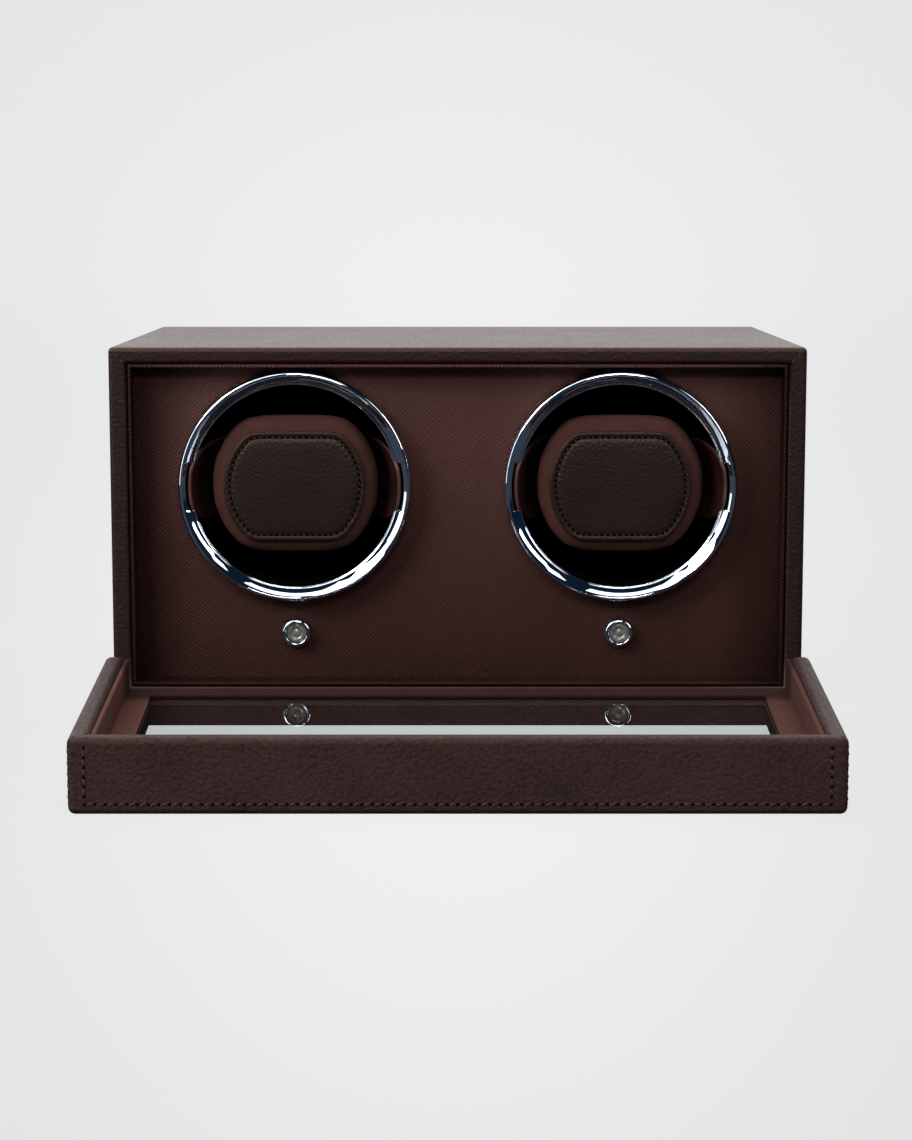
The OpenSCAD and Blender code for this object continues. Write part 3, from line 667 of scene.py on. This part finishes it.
def build_case_shell():
    """Leather tube round the recess, its outer edges well rounded, narrowing towards the back."""
    half, low, top = CASE_HIGH.x, CASE_LOW.z, CASE_HIGH.z
    inner = LINER_HIGH.x + LINER_GAP
    bm = cells([-half, -inner, inner, half], [0, CASE_DEPTH],
               [low, LINER_LOW.z - LINER_GAP, LINER_HIGH.z + LINER_GAP, top],
               lambda i, j, k: not (i == 1 and k == 1))
    round_edges(bm, 2.2, 6, lambda m: abs(m.x) > half - 1 or m.z > top - 1 or m.z < low + 1)
    round_edges(bm, 1.6, 4, lambda m: m.y < 1 and abs(m.x) < half - 4 and m.z < top - 4)
    cut_long_edges(bm)
    for vert in bm.verts:
        vert.co = taper(vert.co)
    piece = make_piece("case_leather_shell", bm, "case", "case_leather", replaces=("case_shell",))
    weighted_normals(piece)


def build_sill():
    """Leather ledge in front of the case, under the lid's hinge."""
    bm = cells(*zip(SILL_LOW, SILL_HIGH))
    round_edges(bm, 1.2, 4, lambda m: m.y < SILL_HIGH.y - 1)
    weighted_normals(make_piece("sill_leather", bm, "case", "case_leather", replaces=("front_sill",)))


def build_tray_liner():
    """Four lined walls round the recess, soft at their front lip."""
    wall = 1.4
    low, high = LINER_LOW, LINER_HIGH
    bm = cells([low.x, low.x + wall, high.x - wall, high.x], [low.y, high.y],
               [low.z, low.z + wall, high.z - wall, high.z], lambda i, j, k: not (i == 1 and k == 1))
    round_edges(bm, 0.55, 4, lambda m: m.y < low.y + 0.5)
    weighted_normals(make_piece("tray_lining", bm, "case", "saffiano", replaces=("tray_liner",)))


def build_case_seams():
    """Stitch rows down the case's sides and across its mitred rim corners."""
    rows = []
    inset = 6.5
    for side in (-1, 1):
        x = side * CASE_HIGH.x
        low, high = taper(Vector((x, inset, 7))), taper(Vector((x, inset, CASE_HIGH.z - 6)))
        rows.append(straight_row(low, high, (side, 0, 0)))
        back, front = taper(Vector((x, CASE_DEPTH - 5, 7))), taper(Vector((x, inset, 7)))
        rows.append(straight_row(back, front, (side, 0, 0)))
        for z, sign in ((CASE_HIGH.z, -1), (CASE_LOW.z, 1)):
            corner = Vector((x - side * 2.2, 0.22, z + sign * 2.2))
            rows.append(straight_row(corner, corner + Vector((-side * 5, 0, sign * 5)), (0, -1, 0)))
    stitched("case_stitching", rows, "case", "case_leather", 4.1)


# ---------- drums and cuffs ----------

WING_R = BAND_HIGH.x - DRUM_X
WING_HALF = (BAND_HIGH.z - BAND_LOW.z) / 2
WING_LEAN = 12
WING_WALL = 2.2
NOTCH_R = WING_R + 0.3
NOTCH_HALF = WING_HALF - 7 + 0.3


def notch_squeeze(radius, angle):
    """Pushes the ring's inside wall back where a cuff wing passes it."""
    half_angle = math.asin(NOTCH_HALF / NOTCH_R)
    folded = abs(math.atan2(math.sin(angle), abs(math.cos(angle))))
    return max(radius, NOTCH_R) if folded < half_angle else radius


def ring_angles():
    """Even steps round the ring, with a close pair at each side of each notch."""
    edge = math.asin(NOTCH_HALF / NOTCH_R)
    angles = even_angles(180)
    for base in (0, math.pi):
        for sign in (-1, 1):
            angles += [base + sign * (edge - 0.0015), base + sign * (edge + 0.0015)]
    return sorted(a % (2 * math.pi) for a in angles)


def build_drum_ring(side):
    """Chrome ring: rounded rim, sloped funnel and a thin lip over the drum's cup."""
    outer = (RING_HIGH.x - RING_LOW.x) / 2
    front, back = RING_LOW.y, RING_HIGH.y
    inner = outer - 6.1
    seat = CUP_HIGH.x - DRUM_X + 0.1
    lip_y = CUP_LOW.y - 0.9
    profile = [(outer - 0.25, back), (outer, back - 0.4)]
    profile += arc(outer - 1.5, front + 2.0, 1.5, 2.0, 0, -105, 12)
    profile += [(outer - 3.0, front + 0.75), (outer - 4.2, front + 1.65), (inner + 0.9, lip_y - 0.75)]
    profile += arc(inner + 0.4, lip_y, 0.4, 0.5, -70, -180, 6)
    profile += [(inner, CUP_LOW.y - 0.1), (seat, CUP_LOW.y - 0.1), (seat, back)]
    bm = bmesh.new()
    lathe(bm, profile, SIDES[side] * DRUM_X, DRUM_Z, ring_angles(), notch_squeeze)
    piece = make_piece(side + "_chrome_ring", bm, side + "_drum", "chrome", replaces=(side + "_drum_ring",))
    weighted_normals(piece)


def wing_front(height):
    """Where a wing's front edge lies at a height from the drum's axis: a tip with long round corners."""
    corner, corner_depth = 10.5, 19
    over = max(0.0, abs(height) - (WING_HALF - corner)) / corner
    return BAND_LOW.y + corner_depth * (1 - math.sqrt(max(0.0, 1 - over ** 2)))


def wing_sheet(bm, centre, sign, radius, pinch, rows, columns):
    """Grid of points on one face of a flared wing, moved by pinch (mm) at its front edge."""
    length = BAND_HIGH.y - BAND_LOW.y
    sheet = []
    for a in range(rows + 1):
        z = WING_HALF * (-1 + 2 * a / rows)
        start = wing_front(z)
        row = []
        for b in range(columns + 1):
            y = start + (BAND_HIGH.y - start) * (b / columns) ** 1.6
            near_edge = max(0.0, 1 - (y - start) / 1.2)
            leaned = radius + pinch * near_edge ** 2 - WING_LEAN * (y - BAND_LOW.y) / length
            row.append(bm.verts.new(centre + Vector((sign * math.sqrt(leaned ** 2 - z ** 2), y, z))))
        sheet.append(row)
    return sheet


def add_wing(bm, centre, sign):
    """One leather wing: an outside and an inside face, closed by painted edges."""
    rows, columns, edge_soft = 16, 14, 0.55
    outside = wing_sheet(bm, centre, sign, WING_R, -edge_soft, rows, columns)
    inside = wing_sheet(bm, centre, sign, WING_R - WING_WALL, edge_soft, rows, columns)
    painted = []
    for a in range(rows):
        for b in range(columns):
            bm.faces.new((outside[a][b], outside[a + 1][b], outside[a + 1][b + 1], outside[a][b + 1]))
            bm.faces.new((inside[a][b], inside[a][b + 1], inside[a + 1][b + 1], inside[a + 1][b]))
        for b in (0, columns):
            painted.append((outside[a][b], inside[a][b], inside[a + 1][b], outside[a + 1][b]))
    for a in (0, rows):
        for b in range(columns):
            painted.append((outside[a][b], outside[a][b + 1], inside[a][b + 1], inside[a][b]))
    for corners in painted:
        bm.faces.new(corners).material_index = 1


def build_cuff_band(side):
    """Leather wings that flare out to narrow rounded tips, joined by a back plate."""
    centre = Vector((SIDES[side] * DRUM_X, 0, DRUM_Z))
    bm = bmesh.new()
    for sign in (-1, 1):
        add_wing(bm, centre, sign)
    reach = math.sqrt((WING_R - WING_WALL - WING_LEAN) ** 2 - WING_HALF ** 2) + 0.6
    plate = cells([centre.x - reach, centre.x + reach], [BAND_HIGH.y - 2, BAND_HIGH.y],
                  [DRUM_Z - WING_HALF, DRUM_Z + WING_HALF])
    round_edges(plate, 0.5, 2)
    # The back plate takes the near-black painted shade material.
    for face in plate.faces:
        face.material_index = 2
    join(bm, plate)
    piece = make_piece(side + "_cuff_leather_band", bm, side + "_cuff", "band_leather",
                       [MATERIALS["band_leather"], EDGE_PAINT, BAND_PLATE_SHADE], (side + "_cuff_band",))
    weighted_normals(piece)


def flatted_radius(angle, radius, flat, power=26):
    """Distance from the centre to a circle cut flat above and below, its corners eased."""
    to_flat = flat / max(1e-6, abs(math.sin(angle)))
    return (radius ** -power + to_flat ** -power) ** (-1 / power)


def outline_point(x, radius, flat, angle, y):
    """A point of a flatted outline round a drum's axis."""
    return spoke(x, DRUM_Z, flatted_radius(angle, radius, flat), angle, y)


def rings_to_piece(bm, rings, centre_points):
    """Joins closed rings of points into a skin, capped by fans at both ends."""
    made = [[bm.verts.new(p) for p in ring] for ring in rings]
    count = len(made[0])
    for first, second in zip(made, made[1:]):
        for i in range(count):
            bm.faces.new((first[i], first[(i + 1) % count], second[(i + 1) % count], second[i]))
    for ring, tip in ((made[0], centre_points[0]), (made[-1], centre_points[1])):
        hub = bm.verts.new(tip)
        for i in range(count):
            bm.faces.new((ring[i], ring[(i + 1) % count], hub))


def cushion_rings(radius, flat, front, back, x, count=96):
    """Outline rings of a padded block: rounded front edge, narrowing towards a rounded back."""
    edge, shoulder, lean = 5.0, 9.0, 5.0

    def rounding(depth):
        return edge - math.sqrt(max(0, edge ** 2 - (edge - depth) ** 2))

    places = [(rounding(d), front + d) for d in (0.0, 0.35, 1.2, 2.6, 5.0)]
    straight = back - edge - front - shoulder
    places += [(lean * f, front + shoulder + straight * f) for f in (0, 0.25, 0.5, 0.75)]
    places += [(lean + rounding(d), back - d) for d in (5.0, 2.6, 1.2, 0.35, 0.0)]
    rings = [[outline_point(x, radius - inset, flat - inset, angle, y) for angle in even_angles(count)]
             for inset, y in places]
    return rings, (Vector((x, front, DRUM_Z)), Vector((x, back, DRUM_Z)))


def apply_modifiers(piece):
    """Bakes a piece's modifiers into its mesh."""
    bpy.context.view_layer.update()
    graph = bpy.context.evaluated_depsgraph_get()
    mesh = bpy.data.meshes.new_from_object(piece.evaluated_get(graph))
    old = piece.data
    piece.modifiers.clear()
    piece.data = mesh
    bpy.data.meshes.remove(old)


def inflate(piece, pressure, cap_mm, frames, keep_front):
    """Swells a padded piece with a cloth simulation, capping how far a point may move."""
    remesh = piece.modifiers.new("remesh", "REMESH")
    remesh.mode = "VOXEL"
    remesh.voxel_size = 4 * MM
    apply_modifiers(piece)
    start = [v.co.copy() for v in piece.data.vertices]
    cloth = piece.modifiers.new("cloth", "CLOTH")
    cloth.settings.quality = 5
    cloth.settings.mass = 0.25
    cloth.settings.tension_stiffness = 25
    cloth.settings.compression_stiffness = 25
    cloth.settings.bending_stiffness = 1.2
    cloth.settings.use_pressure = True
    cloth.settings.uniform_pressure_force = pressure
    cloth.settings.effector_weights.gravity = 0
    cloth.point_cache.frame_start = 1
    cloth.point_cache.frame_end = frames
    scene = bpy.context.scene
    for number in range(1, frames + 1):
        scene.frame_set(number)
    apply_modifiers(piece)
    scene.frame_set(1)
    cap = cap_mm * MM
    for vert, before in zip(piece.data.vertices, start):
        move = vert.co - before
        if move.length > cap:
            vert.co = before + move * (cap / move.length)
        vert.co.y = max(vert.co.y, keep_front * MM)
    for polygon in piece.data.polygons:
        polygon.use_smooth = True


def build_cushion(side):
    """Suede cushion, puffed out a little by its filling."""
    grow = 0.3
    radius = (CUSHION_HIGH.x - CUSHION_LOW.x) / 2 + grow
    flat = (CUSHION_HIGH.z - CUSHION_LOW.z) / 2 + grow
    bm = bmesh.new()
    rings, tips = cushion_rings(radius, flat, CUSHION_LOW.y + 0.6, CUSHION_HIGH.y - 0.6, SIDES[side] * DRUM_X)
    rings_to_piece(bm, rings, tips)
    piece = make_piece(side + "_suede_cushion", bm, side + "_cuff", "cushion_suede",
                       replaces=(side + "_cushion",))
    inflate(piece, pressure=4.0, cap_mm=2.0, frames=20, keep_front=CUSHION_LOW.y)
    smooth = piece.modifiers.new("smooth", "SMOOTH")
    smooth.factor, smooth.iterations = 0.5, 2
    subdivide = piece.modifiers.new("subdivide", "SUBSURF")
    subdivide.levels = subdivide.render_levels = 1


def patch_profile(thick, seam):
    """The patch's (inset, lift) from its back edge over a dipped seam to its gently domed middle."""
    edge = [(0.35, 0.0), (0.0, 0.45), (0.05, thick - 0.35), (0.35, thick - 0.08), (0.9, thick + 0.02)]
    dip = [(seam - 0.9, thick), (seam - 0.4, thick - 0.28), (seam, thick - 0.42),
           (seam + 0.4, thick - 0.25), (seam + 1.0, thick + 0.06)]
    dome = [(seam + 2.4, thick + 0.26), (seam + 6, thick + 0.42), (seam + 11, thick + 0.5),
            (seam + 16, thick + 0.54)]
    return edge + dip + dome


def build_patch(side):
    """Leather pad on the cushion's front, drawn down along its seam."""
    radius = (PATCH_HIGH.x - PATCH_LOW.x) / 2
    flat = (PATCH_HIGH.z - PATCH_LOW.z) / 2
    base = PATCH_HIGH.y + 0.35
    thick = PATCH_HIGH.y - PATCH_LOW.y
    seam, points, puckers = 2.5, 288, 68
    x = SIDES[side] * DRUM_X
    rings = []
    for inset, lift in patch_profile(thick, seam):
        pull = 0.10 if abs(inset - seam) < 1.1 else 0.0
        rings.append([outline_point(x, radius - inset, flat - inset, angle,
                                    base - lift - pull * math.cos(angle * puckers))
                      for angle in even_angles(points)])
    bm = bmesh.new()
    rings_to_piece(bm, rings, (Vector((x, base, DRUM_Z)), Vector((x, base - thick - 0.55, DRUM_Z))))
    make_piece(side + "_leather_patch", bm, side + "_cuff", "patch_leather", replaces=(side + "_patch",))
    path = [outline_point(x, radius - seam, flat - seam, angle, base - thick + 0.14)
            for angle in even_angles(360) + [2 * math.pi]]
    ups = [Vector((0, -1, 0))] * len(path)
    stitched(side + "_patch_stitching", [(path, ups)], side + "_cuff", "patch_leather", 2.6, PATCH_THREAD,
             width=0.8, slant=12, length=0.46, hole=0.6)


def build_buttons():
    """Rounded chrome collars, with a clear cap and its spring in each."""
    front, base = COLLAR_LOW.y, FASCIA_LOW.y
    outer = COLLAR_HIGH.x - DRUM_X
    bore = BUTTON_HIGH.x - DRUM_X + 0.08
    barrel = outer - 1.4
    flange = [(outer + 0.1, base), (outer + 0.1, base - 0.5), (outer - 0.15, base - 0.9)]
    flange += arc(outer - 1.3, front + 1.3, 1.2, 1.3, 0, -110, 8)
    flange += [(bore + 0.25, front + 0.35), (bore, front + 0.8), (bore, base)]
    tube = [(barrel, base + 0.02), (bore, base + 0.02), (bore, COLLAR_HIGH.y), (barrel, COLLAR_HIGH.y)]
    bm = bmesh.new()
    for sign in SIDES.values():
        lathe(bm, flange, sign * DRUM_X, BUTTON_Z, even_angles(96))
        lathe(bm, tube, sign * DRUM_X, BUTTON_Z, even_angles(48))
    weighted_normals(make_piece("chrome_button_collars", bm, "case", "chrome", replaces=("button_collars",)))
    for side, sign in SIDES.items():
        build_button_cap(side, sign * DRUM_X)
        build_button_spring(side, sign * DRUM_X)


def build_button_cap(side, x):
    """Clear cap on a thin stem, its face dished round a raised middle."""
    radius = BUTTON_HIGH.x - DRUM_X
    front = BUTTON_LOW.y
    head_back = front + 6.4
    stem = 1.2
    profile = [(stem, BUTTON_HIGH.y), (stem, head_back), (radius, head_back), (radius, front + 1.0)]
    profile += arc(radius - 0.9, front + 1.0, 0.9, 0.8, 0, -90, 5)
    profile += [(radius * 0.62, front + 0.25), (radius * 0.55, front + 0.75), (radius * 0.42, front + 0.85)]
    profile += [(radius * 0.3, front + 0.45)]
    rings = [[spoke(x, BUTTON_Z, r, angle, y) for angle in even_angles(64)] for r, y in profile]
    bm = bmesh.new()
    rings_to_piece(bm, rings, (Vector((x, BUTTON_HIGH.y, BUTTON_Z)), Vector((x, front + 0.3, BUTTON_Z))))
    make_piece(side + "_clear_button", bm, side + "_push_button", "button_clear",
               replaces=(side + "_button",))


def build_button_spring(side, x):
    """Steel coil that rides on its button."""
    low, high = box_mm(side + "_button_spring")
    wire, turns, steps, travel = 0.32, 5, 24, 1.8
    coil = (high.x - low.x) / 2 - wire
    rise = (high.y - low.y - 2 * wire) / (turns * steps)
    rings, cores = [], []
    for i in range(turns * steps + 1):
        a = 2 * math.pi * i / steps
        y = low.y + wire + rise * i
        cores.append(spoke(x, BUTTON_Z, coil, a, y))
        rings.append([spoke(x, BUTTON_Z, coil + wire * math.cos(b), a, y + wire * math.sin(b))
                      for b in even_angles(10)])
    bm = bmesh.new()
    rings_to_piece(bm, rings, (cores[0], cores[-1]))
    spring = make_piece(side + "_steel_button_spring", bm, side + "_push_button", "steel",
                        replaces=(side + "_button_spring",))
    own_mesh(spring)


# ---------- lid ----------

LID_WALL = LINING_LOW.x - LID_LOW.x
WINDOW_X = GLASS_HIGH.x - 3.7
WINDOW_FRONT = GLASS_LOW.y + 3.7
WINDOW_BACK = GLASS_HIGH.y - 3.7


def build_lid_shell():
    """Leather tray with softly rounded walls, open at its hinged end and through the window."""
    half = LID_HIGH.x
    xs = [-half, -half + LID_WALL, -WINDOW_X, WINDOW_X, half - LID_WALL, half]
    ys = [LID_LOW.y, LID_LOW.y + LID_WALL, WINDOW_FRONT, WINDOW_BACK, LID_HIGH.y]
    zs = [LID_LOW.z, GLASS_LOW.z - 0.5, LINING_LOW.z, LID_HIGH.z]

    def filled(i, j, k):
        wall = i in (0, 4) or j == 0
        window = i == 2 and j == 2
        return wall or (k < 2 and not window)

    def outer_edge(m):
        ends = not LID_LOW.y + 1 <= m.y <= LID_HIGH.y - 1
        return abs(m.x) > half - 1 or ends or not 1 <= m.z <= LID_HIGH.z - 1

    bm = cells(xs, ys, zs, filled)
    round_edges(bm, 2.8, 6, outer_edge)
    cut_long_edges(bm)
    weighted_normals(make_piece("lid_leather_shell", bm, "lid", "lid_leather", replaces=("lid_shell",)))


def build_lid_lining():
    """Suede floor border and three suede walls, each a soft-edged sheet."""
    sheet = 2.0
    low, high = LINING_LOW, LINING_HIGH
    floor_top = low.z + sheet
    xs = [low.x, low.x + sheet, -WINDOW_X, WINDOW_X, high.x - sheet, high.x]
    ys = [low.y, low.y + sheet, WINDOW_FRONT, WINDOW_BACK, high.y]
    bm = cells(xs, ys, [low.z, floor_top], lambda i, j, k: not (i == 2 and j == 2))
    round_edges(bm, 0.7, 3, lambda m: m.z > floor_top - 0.5)
    for span_x, span_y in (((low.x, low.x + sheet), (low.y + sheet, high.y)),
                           ((high.x - sheet, high.x), (low.y + sheet, high.y)),
                           ((low.x, high.x), (low.y, low.y + sheet))):
        wall = cells(span_x, span_y, [floor_top, high.z])
        round_edges(wall, 0.8, 4, lambda m: m.z > floor_top + 1)
        join(bm, wall)
    weighted_normals(make_piece("lid_suede_lining", bm, "lid", "lid_suede", replaces=("lid_lining",)))


def build_lid_seams():
    """Stitching along the lid's outer walls and over its mitred corners."""
    rows = []
    front, half, top = LID_LOW.y, LID_HIGH.x, LID_HIGH.z
    inset, low, high = 6.5, 4.3, LID_HIGH.z - 4
    rows.append(straight_row((-half + inset, front, low), (half - inset, front, low), (0, -1, 0)))
    for side in (-1, 1):
        x = side * half
        upright = x - side * inset
        rows.append(straight_row((upright, front, low + 3), (upright, front, high), (0, -1, 0)))
        edge = Vector((x - side * 0.35, front + 1.5, 0))
        rows.append(straight_row(edge + Vector((0, 0, low)), edge + Vector((0, 0, high)), (side, -0.55, 0)))
        rows.append(straight_row((x, front + inset + 4, low), (x, LID_HIGH.y - 5, low), (side, 0, 0)))
        corner = Vector((x - side * 2.4, front + 2.4, top - 0.22))
        rows.append(straight_row(corner, corner + Vector((-side * 4.4, 4.4, 0)), (0, 0, 1)))
    stitched("lid_stitching", rows, "lid", "lid_leather", 4.1)


# ---------- stage ----------

def stage_mesh(name, bm, material, smooth):
    """Adds a bmesh in metres to the scene as scenery, tied to no body of the object."""
    mesh = bpy.data.meshes.new(name)
    bm.to_mesh(mesh)
    bm.free()
    mesh.materials.append(material)
    for polygon in mesh.polygons:
        polygon.use_smooth = smooth
    scenery = bpy.data.objects.new(name, mesh)
    bpy.context.scene.collection.objects.link(scenery)


def build_backdrop(paper):
    """Seamless pale sweep in metres: a floor that curves up into a wall."""
    bend, wall_y, wall_top, half_width = 1.2, 2.8, 4.0, 4
    profile = [(-3.0, 0.0), (wall_y - bend, 0.0)]
    profile += [(wall_y - bend + bend * math.sin(math.radians(a)), bend - bend * math.cos(math.radians(a)))
                for a in range(10, 91, 10)]
    profile += [(wall_y, wall_top)]
    bm = bmesh.new()
    left, right = [[bm.verts.new((x, y, z)) for y, z in profile] for x in (-half_width, half_width)]
    for a in range(len(profile) - 1):
        bm.faces.new((left[a], right[a], right[a + 1], left[a + 1]))
    stage_mesh("backdrop", bm, paper, True)


def build_window_glow(paper):
    """Self-lit white card on the floor, glowing like the backdrop paper: painted light that brightens the
    front of the window lying over it.
    """
    half = WINDOW_X - 0.5
    bm = cells([-half, half], [WINDOW_FRONT + 4, WINDOW_BACK - 15], [0.2, GLASS_LOW.z - 5])
    bmesh.ops.scale(bm, vec=(MM, MM, MM), verts=bm.verts)
    stage_mesh("window_glow", bm, paper, False)


def backdrop_paper():
    """Self-lit paper: bright to the camera, dimmer as a source of light, brightest behind the box."""
    n = Nodes("backdrop")
    n.tree.nodes.clear()
    coords = n.add("TexCoord")
    parts = n.add("SeparateXYZ")
    n.feed(parts.inputs[0], coords.outputs["Object"])
    from_centre = n.add("VectorMath", "DISTANCE")
    from_centre.inputs[1].default_value = (0.5, 0.45, 0)
    n.feed(from_centre.inputs[0], coords.outputs["Window"])

    def from_floor_to_wall(floor, wall):
        return n.span(parts.outputs["Y"], floor, wall, 0.6, 2.2, eased=True)

    def either(which, no, yes):
        node = n.add("Mix")
        for target, value in zip((node.inputs[0], node.inputs[2], node.inputs[3]), (which, no, yes)):
            n.feed(target, value)
        return node.outputs[0]

    vignette = n.span(from_centre.outputs["Value"], 0.87, 0.755, 0, 0.75, eased=True)
    seen = n.math("MULTIPLY", vignette, from_floor_to_wall(0.97, 1.05))
    ray = n.add("LightPath")
    mirrored, camera = ray.outputs["Is Glossy Ray"], ray.outputs["Is Camera Ray"]
    strength = either(mirrored, from_floor_to_wall(0.17, 0.35), from_floor_to_wall(0.05, 1.55))
    hue = n.add("MixRGB")
    n.feed(hue.inputs[0], n.math("MULTIPLY", mirrored, from_floor_to_wall(1.0, 0.0)))
    hue.inputs[1].default_value = (0.99, 0.99, 1.0, 1)
    hue.inputs[2].default_value = (0.10, 0.32, 0.70, 1)
    glow = n.add("Emission")
    n.feed(glow.inputs["Color"], hue.outputs[0])
    n.feed(glow.inputs["Strength"], either(camera, strength, seen))
    paper = n.add("BsdfDiffuse")
    paper.inputs["Color"].default_value = (0.025, 0.025, 0.025, 1)
    both = n.add("AddShader")
    n.feed(both.inputs[0], glow.outputs[0])
    n.feed(both.inputs[1], paper.outputs[0])
    n.feed(n.add("OutputMaterial").inputs["Surface"], both.outputs[0])
    return n.material


def area_light(name, place, target, size, energy):
    """White panel hidden from the camera; size is (width, height) in metres."""
    data = bpy.data.lights.new(name, "AREA")
    data.shape = "RECTANGLE"
    data.size, data.size_y = size
    data.energy = energy
    lamp = bpy.data.objects.new(name, data)
    lamp.location = place
    lamp.visible_camera = False
    lamp.rotation_mode = "QUATERNION"
    lamp.rotation_quaternion = (Vector(target) - Vector(place)).to_track_quat("-Z", "Y")
    bpy.context.scene.collection.objects.link(lamp)


def build_lights():
    """Large softbox high on the left, weaker panels round and over the box, in a dark blue room."""
    middle = (0, 0, 0.08)
    area_light("key_softbox", (-1.10, -0.80, 0.95), middle, (0.9, 0.7), 24)
    area_light("key_low", (-1.22, -0.55, 0.34), middle, (0.45, 0.42), 1.6)
    area_light("strip_right", (1.15, -0.55, 0.62), middle, (0.22, 0.55), 4)
    area_light("fill_right", (1.02, -0.70, 1.00), middle, (0.3, 0.3), 0.9)
    area_light("overhead", (0.0, 0.55, 1.3), (0, -0.05, 0), (1.7, 1.0), 22)
    area_light("bridge", (0.05, -0.83, 1.39), middle, (1.15, 0.35), 3.6)
    area_light("bridge_left", (-0.66, -0.80, 1.20), middle, (0.75, 0.5), 3.2)
    area_light("card_left", (-0.75, -0.27, 0.05), middle, (0.3, 0.16), 0.25)
    area_light("front_low", (0.1, -1.9, 1.15), middle, (0.7, 0.3), 16)
    world = bpy.data.worlds.new("studio")
    world.use_nodes = True
    background = world.node_tree.nodes["Background"]
    background.inputs["Color"].default_value = (0.008, 0.018, 0.034, 1)
    background.inputs["Strength"].default_value = 0.8
    bpy.context.scene.world = world


def build_camera():
    """Camera in front and a little above, as in a catalogue picture."""
    data = bpy.data.cameras.new("camera")
    data.sensor_width = 36
    data.lens = 107.858
    camera = bpy.data.objects.new("camera", data)
    camera.location = (-0.0007, -1.4452, 0.3306)
    looking_down = 0.184
    camera.rotation_euler = (math.pi / 2 - looking_down, 0, 0)
    bpy.context.scene.collection.objects.link(camera)
    bpy.context.scene.camera = camera


def main():
    dress_cad_nodes()
    build_case_shell()
    build_sill()
    build_tray_liner()
    build_case_seams()
    for side in SIDES:
        build_drum_ring(side)
        build_cuff_band(side)
        build_cushion(side)
        build_patch(side)
    build_buttons()
    build_lid_shell()
    build_lid_lining()
    build_lid_seams()
    paper = backdrop_paper()
    build_backdrop(paper)
    build_window_glow(paper)
    build_lights()
    build_camera()
    bpy.context.scene.view_settings.view_transform = "Standard"


main()
